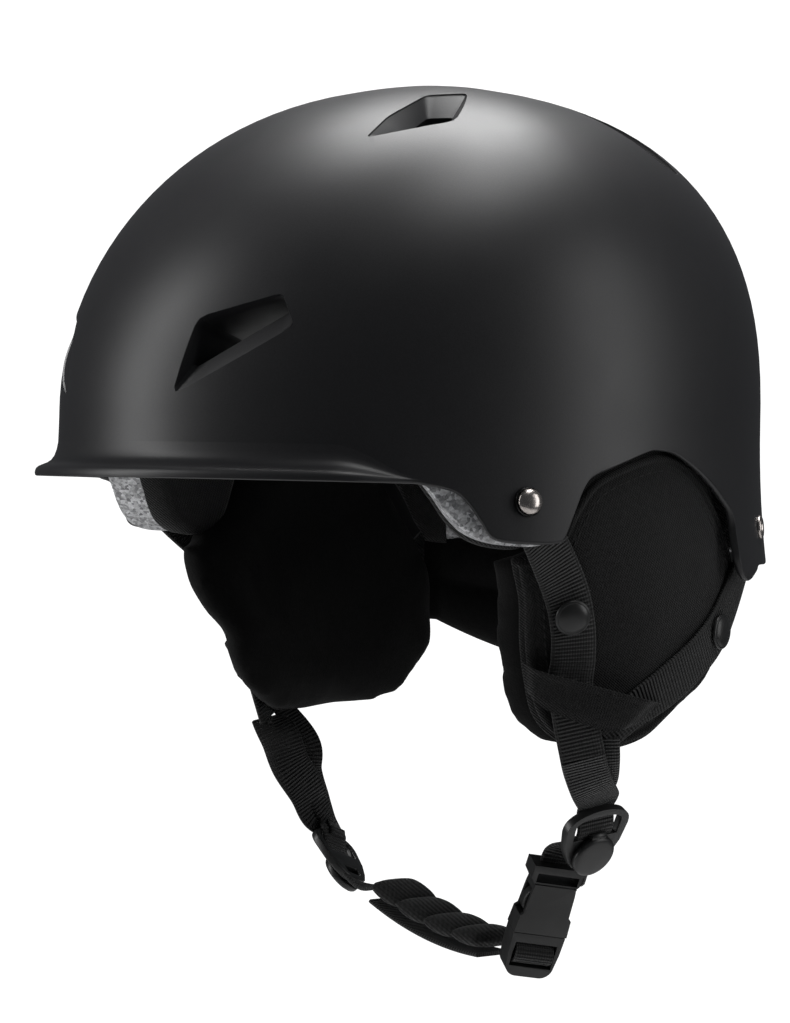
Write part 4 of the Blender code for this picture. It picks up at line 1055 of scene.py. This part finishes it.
def inflate(item):
    """Fills a soft piece by cloth simulation: its skin swells under pressure, up to a cap."""
    remesh = item.modifiers.new("skin", "REMESH")
    remesh.mode = "VOXEL"
    remesh.voxel_size = FILL_GRAIN * MM
    bake(item)
    start = [vertex.co.copy() for vertex in item.data.vertices]
    cloth = item.modifiers.new("fill", "CLOTH")
    cloth.settings.quality = 4
    cloth.settings.mass = 0.2
    cloth.settings.use_pressure = True
    cloth.settings.uniform_pressure_force = FILL_PRESSURE
    cloth.settings.tension_stiffness = 12
    cloth.settings.compression_stiffness = 12
    cloth.settings.shear_stiffness = 6
    cloth.settings.bending_stiffness = 0.4
    cloth.settings.effector_weights.gravity = 0
    cloth.point_cache.frame_start = 1
    cloth.point_cache.frame_end = FILL_STEPS
    for frame_number in range(1, FILL_STEPS + 1):
        bpy.context.scene.frame_set(frame_number)
    bake(item)
    bpy.context.scene.frame_set(1)
    for vertex, old in zip(item.data.vertices, start):
        move = vertex.co - old
        if move.length > FILL_CAP * MM:
            vertex.co = old + move.normalized() * FILL_CAP * MM
    calm = item.modifiers.new("calm", "SMOOTH")
    calm.factor = 0.5
    calm.iterations = 14
    bake(item)
    divide = item.modifiers.new("divide", "SUBSURF")
    divide.levels = divide.render_levels = 1
    bake(item)
    shade(item, SOFT_ANGLE)


def build_nape(look):
    soft_piece("nape_collar", nape_skin(), look["fleece"], replaces=["nape_pad"])


# ---------------------------------------------------------------- ear pads

def smooth_outline(corners):
    closed = smooth_path([Vector((y, z, 0)) for y, z in corners], 8, closed=True)
    outline = [(point.x, point.y) for point in closed]
    return outline[::-1] if area_of(outline) > 0 else outline


def outline_ring(side, outline, offset, depth):
    """Outline moved inwards by an equal distance and sunk below the pad's face."""
    count = len(outline)
    ring = []
    for i, (y, z) in enumerate(outline):
        back, ahead = outline[i - 3], outline[(i + 3) % count]
        run = Vector((ahead[0] - back[0], ahead[1] - back[1], 0)).normalized()
        inward = Vector((run.y, -run.x, 0))
        ring.append(pad_point(side, y + inward.x * offset, z + inward.y * offset, depth))
    return ring


def panel_rings(side):
    """Backing plate with the knit on it: piped edge, groove and a softly filled middle."""
    plate_edge, knit_edge = smooth_outline(PANEL_OUTLINE), smooth_outline(KNIT_EDGE)
    middle = Vector((*PANEL_MIDDLE, 0.0))
    rings = []
    for share in (0.3, 0.6, 0.9):
        rings.append([pad_point(side, *(middle + (Vector((y, z, 0)) - middle) * share).xy, PANEL_THICKNESS)
                      for y, z in plate_edge])
    piping = ((0.0, 1.2), (0.05, 0.5), (0.3, 0.0), (0.8, -0.3), (1.4, -0.35), (2.0, -0.1), (2.4, 0.3),
              (2.8, 0.4), (3.4, 0.1), (4.2, -0.1), (5.2, 0.15), (6.4, -0.05), (9.0, -0.2))
    for edge, steps in ((plate_edge, ((0, 3.0), (0, 2.0), (0.3, 1.3))), (knit_edge, piping)):
        rings += [outline_ring(side, edge, offset, depth) for offset, depth in steps]
    for share in (0.8, 0.6, 0.4, 0.2):
        ring = []
        for y, z in knit_edge:
            base = Vector((y, z, 0)) - middle
            place = middle + base * max(0.0, 1 - 9.6 / base.length) * share
            ring.append(pad_point(side, place.x, place.y, -0.25))
        rings.append(ring)
    return rings, knit_edge


def area_of(outline):
    total = 0.0
    for (a, b), (c, d) in zip(outline, outline[1:] + outline[:1]):
        total += a * d - b * c
    return total / 2


def stitches(name, line, normals, look):
    """Short raised stitches along a line on a surface."""
    points, faces, spans = [], [], []
    start = None
    for k in range(1, len(line)):
        if start is None:
            start, run = k - 1, 0.0
        run += (line[k] - line[k - 1]).length
        if STITCH_LENGTH <= run < STITCH_LENGTH + STITCH_GAP and not (spans and spans[-1][0] == start):
            spans.append((start, k))
        if run >= STITCH_LENGTH + STITCH_GAP:
            start = None
    radius, turns = STITCH_RADIUS, [math.tau * i / 6 for i in range(6)]
    for a, b in spans:
        p, q, normal = line[a], line[b], normals[a]
        across = (q - p).normalized().cross(normal).normalized()
        rings = []
        for share, fat in ((0, 0.35), (0.2, 0.9), (0.5, 1.0), (0.8, 0.9), (1, 0.35)):
            centre = p.lerp(q, share) + normal * radius * 0.55 * math.sin(math.pi * share)
            rings.append([centre + across * math.cos(turn) * radius * fat
                          + normal * math.sin(turn) * radius * fat * 0.7 for turn in turns])
        more, joined = loft(rings)
        faces += [tuple(len(points) + i for i in face) for face in joined]
        points += more
    return piece(name, (points, faces), look, smooth=60)


def build_ear_pads(look):
    thick = CUSHION_THICKNESS
    for side, word in SIDE_NAMES.items():
        rings, outline = panel_rings(side)
        tips = [pad_point(side, *PANEL_MIDDLE, depth) for depth in (PANEL_THICKNESS, -0.25)]
        soft_piece(f"ear_knit_{word}", loft(rings, *tips), look["knit"], replaces=[f"ear_panel_{word}"])
        dense = smooth_path(outline_ring(side, outline, 5.2, 0.0), 4, closed=True)
        outwards = [pad_normal(side, point.y, point.z) for point in dense]
        stitches(f"ear_stitch_{word}", dense, outwards, look["thread"])
        rings = [fine_cushion_ring(side, scale, depth) for scale, depth in
                 ((0.5, 1.6), (0.95, 1.6), (1.0, 2.6), (1.035, 5.0), (1.035, thick - 6.0),
                  (0.985, thick - 2.6), (0.87, thick - 0.9), (0.5, thick - 0.4))]
        skin = capped(rings)
        pillow = piece(f"ear_pillow_{word}", skin, look["fleece"], replaces=[f"ear_cushion_{word}"],
                       smooth=SOFT_ANGLE)
        inflate(pillow)
        build_pocket(side, word, look)


def fine_cushion_ring(side, scale, depth):
    """Round the cushion; the right one is pressed fuller at its lower rear corner and along its front."""
    ring = smooth_path(cushion_ring(side, scale, depth), 4, closed=True)
    if side == LEFT:
        return ring
    share = smooth_step((depth - 2) / 8)
    full = []
    for point in ring:
        near = max(0.0, 1 - (Vector((point.y, point.z)) - Vector((46, -74))).length / 34)
        push = smooth_step(near) * share
        moved = point + Vector((0, 9.0, -8.5)) * push
        at = Vector((point.y, point.z))
        ahead = max(amount * smooth_step(max(0.0, 1 - (at - Vector(place)).length / reach))
                    for place, reach, amount in FRONT_FULLNESS)
        full.append(moved - Vector((0, ahead, 0)) * smooth_step((depth - 0.5) / 2))
    return full


def build_pocket(side, word, look):
    """Folded flap over the straps at the pad's foot, with a turned edge along its top."""
    top, foot = POCKET_TOP, POCKET_FOOT
    rows, cols = 16, 40
    outer, inner = [], []
    for k in range(cols + 1):
        share = (FLAP_TUCKED[side] + (1 - FLAP_TUCKED[side]) * k / cols) * (len(top) - 1)
        i = min(int(share), len(top) - 2)
        part = share - i
        up = Vector(top[i]).lerp(Vector(top[i + 1]), part)
        down = Vector(foot[i]).lerp(Vector(foot[i + 1]), part)
        line_out, line_in = [], []
        end = min(k, cols - k) / cols
        tuck = 1 - smooth_step(end / 0.14)
        for j in range(rows + 1):
            s = j / rows
            place = up.lerp(down, s)
            hem = 0.45 * (1 - smooth_step((s - 0.10) / 0.05)) if s < 0.2 else 0.0
            fold = 0.35 * math.sin(9 * k / cols + 4 * s)
            lift = POCKET_DEPTH + 0.5 + hem + fold * 0.5 - 3.4 * tuck - 0.6 * smooth_step((s - 0.75) / 0.25)
            line_out.append(pad_point(side, place.x, place.y, -lift - 0.55))
            line_in.append(pad_point(side, place.x, place.y, -lift + 0.2))
        outer.append(line_out)
        inner.append(line_in)
    rings = [a + b[::-1] for a, b in zip(outer, inner)]
    flap = piece(f"ear_flap_{word}", capped(rings), look["knit"],
                 replaces=[f"ear_pocket_{word}"], smooth=SOFT_ANGLE)


# ---------------------------------------------------------------- straps

def lay_strap(name, path, normals, body, nodes, look, width=WEB_WIDTH, widths=None):
    fine, faces = resample(path, normals, STRAP_PARTS)
    if widths:
        spread = smooth_path([Vector((value, 0, 0)) for value in widths], STRAP_PARTS)
        widths = [value.x for value in spread]
    skin, uv = strip(fine, faces, widths or [width] * len(fine))
    return piece(name, skin, look["webbing"], body, replaces=nodes, uv=uv, smooth=60)


def upper_path(side, end):
    """An upper strap; the front one lies over the rear one at the pad's foot."""
    points, normals = strap_upper(side, end)
    if end == "rear":
        points, normals = points[:-2], normals[:-2]
        for y, z in ((31.5, -67.0), (19.0, -74.5), (10.5, -83.5)):
            points.append(pad_point(side, y, z, -1.25))
            normals.append(pad_normal(side, y, z))
        del points[-4], normals[-4]
    else:
        points[-1] = points[-1] + normals[-1] * 1.2
    return points, normals


def across_to_normals(points, widths_along):
    """Normals for a path whose width should lie along the given directions."""
    normals = []
    last = len(points) - 1
    for k, across in enumerate(widths_along):
        run = (points[min(k + 1, last)] - points[max(k - 1, 0)]).normalized()
        normals.append(across.cross(run).normalized())
    return normals


def drop_path(side, end):
    """The free strap, drawn from under the flap down into the divider's window."""
    upper, upper_normals = upper_path(side, end)
    reach, face = -DIVIDER_LENGTH / 2, divider_frame(side).col[2]
    last = divider_frame(side).col[0].cross(face)
    first = (upper[-1] - upper[-2]).normalized().cross(upper_normals[-1])
    if side == LEFT:
        middle = {"front": [(84.8, 7.4, -95.0), (81.5, 13.5, -101.5)],
                  "rear": [(87.6, 13.6, -92.5), (80.6, 19.5, -100.5)]}[end]
        turn = Vector((0.56, 0.82, 0.12))
    else:
        middle = {"front": [(-81.0, 5.2, -97.5), (-78.6, 8.4, -107.5), (-77.5, 15.6, -117.5),
                            (-78.5, 20.5, -125.5)],
                  "rear": [(-79.0, 16.3, -99.4), (-77.8, 17.0, -110.5), (-78.0, 21.5, -120.3)]}[end]
        turn = Vector((-0.50, -0.86, -0.05))
    points = [upper[-1]] + [Vector(place) for place in middle]
    through = ((-1.5, -1.6), (1.6, -2.6), (4.4, -1.2), (8.4, 0.3), (12.0, 0.0))
    if end == "front":
        points += [divider_point(side, reach + along, 0, out) for along, out in through]
    else:
        points += [divider_point(side, reach + along, 0, out - 1.7) for along, out in through[:3]]
    first, last = (w if w.dot(turn) > 0 else -w for w in (first, last))
    if side == RIGHT:
        first = first.lerp(turn, FAR_STRAP_TURN)
    widths = [first] + [turn.lerp(last, k / len(middle)) for k in range(len(middle))]
    widths += [last] * (len(points) - len(widths))
    return points, across_to_normals(points, widths)


def build_straps(look):
    for side, word in SIDE_NAMES.items():
        for end in ("front", "rear"):
            points, normals = upper_path(side, end)
            widths = [WEB_WIDTH] * len(points)
            if end == "rear":
                widths[-2:] = [WEB_WIDTH - 2.5, WEB_WIDTH - 5.5]
            lay_strap(f"web_{end}_{word}", points, normals, "helmet", [f"strap_{end}_{word}"], look,
                      widths=widths)
            points, normals = drop_path(side, end)
            width = WEB_WIDTH - 5.5 if end == "rear" else WEB_WIDTH
            drop = lay_strap(f"web_drop_{end}_{word}", points, normals, None, [f"strap_drop_{end}_{word}"],
                             look, widths=[width] * len(points))
            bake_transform(drop)
    r = SNAP_RADIUS
    cap = [(0, 0), (r - 0.9, 0), (r - 0.5, 0.15), (r, 0.6), (r, 1.0), (r - 0.25, 1.4), (r - 0.8, 1.6),
           (r - 0.95, 1.55), (r - 1.15, 1.72), (r * 0.6, 2.25), (r * 0.3, 2.5), (0, 2.56)]
    for side, word in SIDE_NAMES.items():
        for end, (y, z) in (("front", (-9.3, -43)), ("rear", (57.5, -49.5))):
            place = pad_point(side, y, z, -(0.5 + WEB_THICKNESS + 0.45))
            piece(f"snap_cap_{end}_{word}", turned(place, pad_normal(side, y, z), cap, 48), look["cap"],
                  replaces=[f"snap_{end}_{word}"], smooth=50)


# ---------------------------------------------------------------- dividers and buckle

def arch_outline():
    """Outer outline of the divider: a broad rounded arch over a narrower foot."""
    half, reach = DIVIDER_WIDTH / 2, DIVIDER_LENGTH / 2
    outline = []
    for k in range(25):
        turn = math.pi * k / 24
        outline.append((-reach + 7.6 - 7.6 * math.sin(turn) ** 0.75, -half * math.cos(turn)))
    foot = [(reach - 9, half - 1.4), (reach - 4, half - 4.0), (reach - 1.0, half - 6.4), (reach, half - 8.5)]
    return outline + foot + [(along, -across) for along, across in reversed(foot)]


def build_dividers(look):
    half, reach = DIVIDER_THICKNESS / 2, DIVIDER_LENGTH / 2
    for side, word in SIDE_NAMES.items():
        frame, place = divider_frame(side), DIVIDER_PLACE[side]
        body = piece(f"loop_{word}", plate(place, frame, arch_outline(), -half, half), look["hardware"],
                     "chin_loop", replaces=[f"divider_{word}"])
        window = []
        for k in range(17):
            turn = math.pi * k / 16
            window.append((-reach + 6.4 - 3.9 * math.sin(turn) ** 0.6, -9.6 * math.cos(turn)))
        window += [(-0.6, 9.2), (-0.6, -9.2)]
        slot = [(reach - 6.2, -4.6), (reach - 6.2, 4.6), (reach - 2.6, 4.2), (reach - 2.6, -4.2)]
        carve(body, [plate(place, frame, window, -4, 4), plate(place, frame, slot, -4, 4)])
        soften(body, 0.75, 4)
        centre = place + frame @ Vector((6.0, 0, half + 0.25))
        r = LEVER_RADIUS
        rings = []
        profile = ((0.92, 0.0), (0.98, 0.2), (1.0, 0.6), (1.0, 1.5), (0.985, 2.0), (0.94, 2.45), (0.86, 2.75),
                   (0.74, 2.9), (0.5, 3.05), (0.25, 3.12))
        for scale, out in profile:
            ring = []
            for i in range(64):
                turn = math.tau * i / 64
                ring.append(centre + frame @ Vector((r * 0.98 * scale * math.cos(turn),
                                                     r * scale * math.sin(turn), out)))
            rings.append(ring)
        skin = loft(rings, centre_of(rings[0]), centre_of(rings[-1]) + frame.col[2] * 0.02)
        piece(f"lever_cap_{word}", skin, look["hardware"], f"lever_{word}",
              replaces=[f"divider_lever_{word}"], smooth=50)


def build_barrels(look):
    """A hinge barrel that joins each lever's round cap to its divider."""
    for side, word in SIDE_NAMES.items():
        frame = divider_frame(side)
        across = frame.col[1]
        hinge = Vector((HINGE_ALONG, 0, DIVIDER_THICKNESS / 2 + HINGE_ABOVE))
        start = DIVIDER_PLACE[side] + frame @ hinge - across * BARREL_LENGTH / 2
        r, end = BARREL_RADIUS, BARREL_LENGTH
        profile = [(0, 0), (r - 0.3, 0), (r, 0.3), (r, end - 0.3), (r - 0.3, end), (0, end)]
        piece(f"lever_barrel_{word}", turned(start, across, profile, 28), look["hardware"],
              body=f"lever_{word}", smooth=45)


def build_buckle(look):
    frame = buckle_frame()
    half = BUCKLE_THICKNESS / 2
    wide = BUCKLE_WIDTH / 2
    body = piece("socket_body", buckle_plate(female_outline(), -half, half), look["hardware"],
                 "chin_loop", replaces=["buckle_female"])
    cuts = [buckle_block(*box) for box in (((3.0, -7.6, -6), (6.4, 7.6, 6)),
                                           ((9.6, -7.3, -2.6), (FEMALE_LENGTH + 2, 7.3, 2.6)))]
    window = [(9.4, 12), (9.4, 6.0), (11.0, 4.6), (17.6, 4.6), (19.6, 6.2), (19.6, 12)]
    for sign in (1, -1):
        cuts.append(buckle_plate([(a, sign * b) for a, b in window], -2.9, 2.9))
    for sign in (1, -1):
        groove = [(2.2, -9.0), (2.2, 9.0), (7.2, 9.0), (7.2, -9.0)]
        cuts.append(buckle_plate(groove, sign * (half - 0.45), sign * (half + 2)))
    carve(body, cuts)
    soften(body, 0.7, 4)
    start, end = FEMALE_LENGTH + 0.3, FEMALE_LENGTH + MALE_LENGTH
    outline = [(start, wide - 0.2), (start + 7, wide - 0.4), (end - 4.5, wide - 1.0)]
    for k in range(9):
        turn = math.pi / 2 * k / 8
        outline.append((end - 4.5 + 4.5 * math.sin(turn), wide - 5.5 + 4.5 * math.cos(turn)))
    outline += [(a, -b) for a, b in reversed(outline)]
    male = piece("insert_body", buckle_plate(outline, -half + 0.2, half - 0.2), look["hardware"],
                 "chin_half", replaces=["buckle_male"])
    tongue = buckle_block((start - 13, -1.7, -1.5), (start + 1, 1.7, 1.5))
    slots = [buckle_block((start + 3.6, -7.7, -6), (start + 12.8, 7.7, 6))]
    for sign in (1, -1):
        near, far = sorted((sign * 3.4, sign * 7.4))
        slots.append(buckle_block((start - 1, near, -1.9), (start + 1.6, far, 1.9)))
    carve(male, slots, join=[tongue])
    soften(male, 0.8, 4)
    for side, word in ((1, "rear"), (-1, "front")):
        sign = side if frame.col[1].y > 0 else -side
        edge = [(1.0, 4.7), (-2, 4.6), (-7.4, 4.8), (-13.6, 4.8), (-15.4, 5.4), (-15.8, 6.6), (-14.6, 7.9),
                (-12.4, 8.8), (-10.0, 9.0), (-8.2, 8.3), (-6.8, 6.9), (-2, 6.2), (1.0, 6.3)]
        outline = [(start + along - 0.2, sign * across) for along, across in edge]
        arm = piece(f"arm_{word}_pad", buckle_plate(outline, -2.0, 2.0), look["hardware"],
                    f"arm_{word}", replaces=[f"buckle_arm_{word}"])
        soften(arm, 0.5, 3)


def build_short_straps(look):
    frame, left = buckle_frame(), divider_frame(LEFT)
    start = divider_point(LEFT, 4.5, 0, -DIVIDER_THICKNESS / 2 - 2.0)
    end = BUCKLE_TOP + BUCKLE_AXIS * 1.2
    bow = start.lerp(end, 0.45) + Vector((0, 0, 3.2))
    faces = [left.col[0] * -1, Vector((0, 0, 1)), frame.col[2] * -1]
    path = [start, bow, end - BUCKLE_AXIS * 4.5, end]
    lay_strap("web_short", path, faces + faces[-1:], "chin_loop", ["strap_female"], look,
              width=WEB_WIDTH - 1.4)
    start = divider_point(RIGHT, DIVIDER_LENGTH / 2 + 0.4, 0, 0)
    far = CHIN_PAD_ENDS[1]
    end = far + (CHIN_PAD_ENDS[0] - far).normalized() * 3
    path = [start, start.lerp(end, 0.5) - Vector((0, 0, 1.5)), end]
    faces = [divider_frame(RIGHT).col[2] * -1, Vector((0.3, 0, 1)), Vector((0.2, 0, 1))]
    far_web = lay_strap("web_far", path, faces, None, ["strap_chin"], look, width=WEB_WIDTH - 1)
    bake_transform(far_web)
    ends = zip(CHIN_PAD_ENDS, (Vector((-4, 0, -5.6)), Vector((-3, 0, -6.8))))
    tail = chin_path(*(place + shift for place, shift in ends), 8)
    lay_strap("web_tail", tail, chin_normals(tail), "chin_half", ["strap_tail"], look)
    loop = BUCKLE_TOP + BUCKLE_AXIS * (FEMALE_LENGTH + 0.3 + 8.3)
    rings, uv = [], []
    for k in range(25):
        turn = math.tau * k / 24
        lump = Vector((3.7 * math.cos(turn), 0, 4.9 * math.sin(turn)))
        centre = loop + frame @ lump
        outward = (frame @ lump).normalized()
        ring = []
        for a, b in ((-6.9, -0.6), (0, -0.6), (6.9, -0.6), (6.9, 0.6), (0, 0.6), (-6.9, 0.6)):
            ring.append(centre + frame.col[1] * a + outward * b)
            uv.append((turn * 4.6 * MM, a * MM))
        rings.append(ring)
    piece("web_wrap", loft(rings), look["webbing"], "chin_half", uv=uv, smooth=60)


def chin_skin():
    """Quilted mesh sleeve: full lobes between pinched seams, with scalloped edges."""
    path = chin_path(*CHIN_PAD_ENDS, 96)
    normals = chin_normals(path)
    rings = []
    for k, (point, normal) in enumerate(zip(path, normals)):
        swell = abs(math.sin(math.pi * k / 24)) ** 0.55
        cap = smooth_step(min(k, 96 - k) / 4)
        half = CHIN_PAD_WIDTH / 2 * (0.86 + 0.12 * swell) * (0.8 + 0.2 * cap)
        thick = CHIN_PAD_THICKNESS / 2 * (0.42 + 0.62 * swell) * (0.6 + 0.4 * cap)
        ring = []
        for i in range(28):
            turn = math.tau * i / 28
            c, s = math.cos(turn), math.sin(turn)
            ring.append(point + Vector((0, 1, 0)) * half * math.copysign(abs(c) ** 0.75, c)
                        + normal * thick * math.copysign(abs(s) ** 0.9, s))
        rings.append(ring)
    return capped(rings)


def build_chin(look):
    soft_piece("chin_quilt", chin_skin(), look["mesh"], "chin_half", replaces=["chin_pad"])


# ---------------------------------------------------------------- carried-over nodes, camera and light

def dress_nodes(look):
    """Materials for the CAD nodes that stay as they are."""
    names = {
        "hardware": ["dial_housing", "dial_backplate", "dial_hanger", "dial_knob", "dial_pinion"]
        + [f"fit_{part}_{word}" for part in ("rack", "band") for word in SIDE_NAMES.values()],
        "nickel": [f"{end}_washer_{word}" for end in ("front", "rear") for word in SIDE_NAMES.values()],
    }
    for key, group in names.items():
        for name in group:
            for slot in frame["nodes"][name].material_slots:
                slot.material = look[key]


def build_camera():
    azimuth, elevation, roll = (math.radians(turn) for turn in (CAMERA_TURN, CAMERA_RISE, CAMERA_ROLL))
    back = Vector((math.sin(azimuth) * math.cos(elevation), -math.cos(azimuth) * math.cos(elevation),
                   math.sin(elevation)))
    right = Vector((math.cos(azimuth), math.sin(azimuth), 0))
    up = back.cross(right)
    lens = bpy.data.cameras.new("photo_view")
    camera = bpy.data.objects.new("photo_view", lens)
    bpy.context.scene.collection.objects.link(camera)
    turned_right = math.cos(roll) * right + math.sin(roll) * up
    turned_up = -math.sin(roll) * right + math.cos(roll) * up
    placed = Matrix((turned_right, turned_up, back)).transposed().to_4x4()
    placed.translation = Vector((0, 0, CAMERA_HEIGHT)) + back * CAMERA_DISTANCE
    camera.matrix_world = placed
    lens.sensor_fit = "VERTICAL"
    lens.sensor_height = 36
    lens.lens = LENS
    lens.shift_x = LENS_SHIFT
    lens.clip_end = 20
    bpy.context.scene.camera = camera
    bpy.context.scene.view_settings.view_transform = "Standard"


def softbox(name, offsets, aim, size, power):
    up, towards, right = offsets
    light = bpy.data.lights.new(name, "AREA")
    light.shape = "RECTANGLE"
    light.size, light.size_y = size
    light.energy = power
    item = bpy.data.objects.new(name, light)
    item.location = Vector((0, 0, 1)) * up + TOWARDS_CAMERA * towards + CAMERA_RIGHT * right
    item.rotation_euler = (Vector((0, 0, aim)) - item.location).to_track_quat("-Z", "Y").to_euler()
    bpy.context.scene.collection.objects.link(item)


def build_studio():
    mesh = bpy.data.meshes.new("floor")
    count = 96
    turns = [math.tau * i / count for i in range(count)]
    ring = [(FLOOR_RADIUS * math.cos(turn), FLOOR_RADIUS * math.sin(turn), FLOOR_HEIGHT) for turn in turns]
    mesh.from_pydata(ring, [], [tuple(range(count))])
    floor = bpy.data.objects.new("floor", mesh)
    bpy.context.scene.collection.objects.link(floor)
    mesh.materials.append(plastic_look("pale_floor", 0.80, 0.6))
    world = bpy.data.worlds.new("studio")
    bpy.context.scene.world = world
    world.use_nodes = True
    tree = world.node_tree
    base = tree.nodes["Background"]
    base.inputs["Color"].default_value = (0.9, 0.95, 1.0, 1)
    base.inputs["Strength"].default_value = AMBIENT
    white = tree.nodes.new("ShaderNodeBackground")
    white.inputs["Color"].default_value = (1, 1, 1, 1)
    white.inputs["Strength"].default_value = BACKDROP
    path = tree.nodes.new("ShaderNodeLightPath")
    mix = tree.nodes.new("ShaderNodeMixShader")
    tree.links.new(path.outputs["Is Camera Ray"], mix.inputs["Fac"])
    tree.links.new(base.outputs[0], mix.inputs[1])
    tree.links.new(white.outputs[0], mix.inputs[2])
    tree.links.new(mix.outputs[0], tree.nodes["World Output"].inputs["Surface"])
    for box in SOFTBOXES:
        softbox(*box)


def main():
    look = {
        "shell": shell_look(),
        "foam": foam_look(),
        "knit": knit_look(),
        "mesh": knit_look("mesh_knit", 0.0100, 0.0013),
        "fleece": fleece_look(),
        "webbing": webbing_look(),
        "hardware": plastic_look("hardware_plastic", 0.016, 0.36),
        "cap": plastic_look("cap_plastic", 0.017, 0.33),
        "nickel": metal_look("nickel", (0.62, 0.57, 0.54), 0.24),
        # dark metal of the rings round the front rivets: painted shadow of the recess round each rivet head
        "collar": metal_look("dark_metal", (0.06, 0.06, 0.06), 0.35),
        "thread": plastic_look("thread", 0.010, 0.7),
    }
    build_camera()
    build_studio()
    build_shell(look)
    build_anchors(look)
    build_padding(look)
    build_nape(look)
    build_ear_pads(look)
    build_straps(look)
    build_dividers(look)
    build_barrels(look)
    build_buckle(look)
    build_short_straps(look)
    build_chin(look)
    dress_nodes(look)


main()
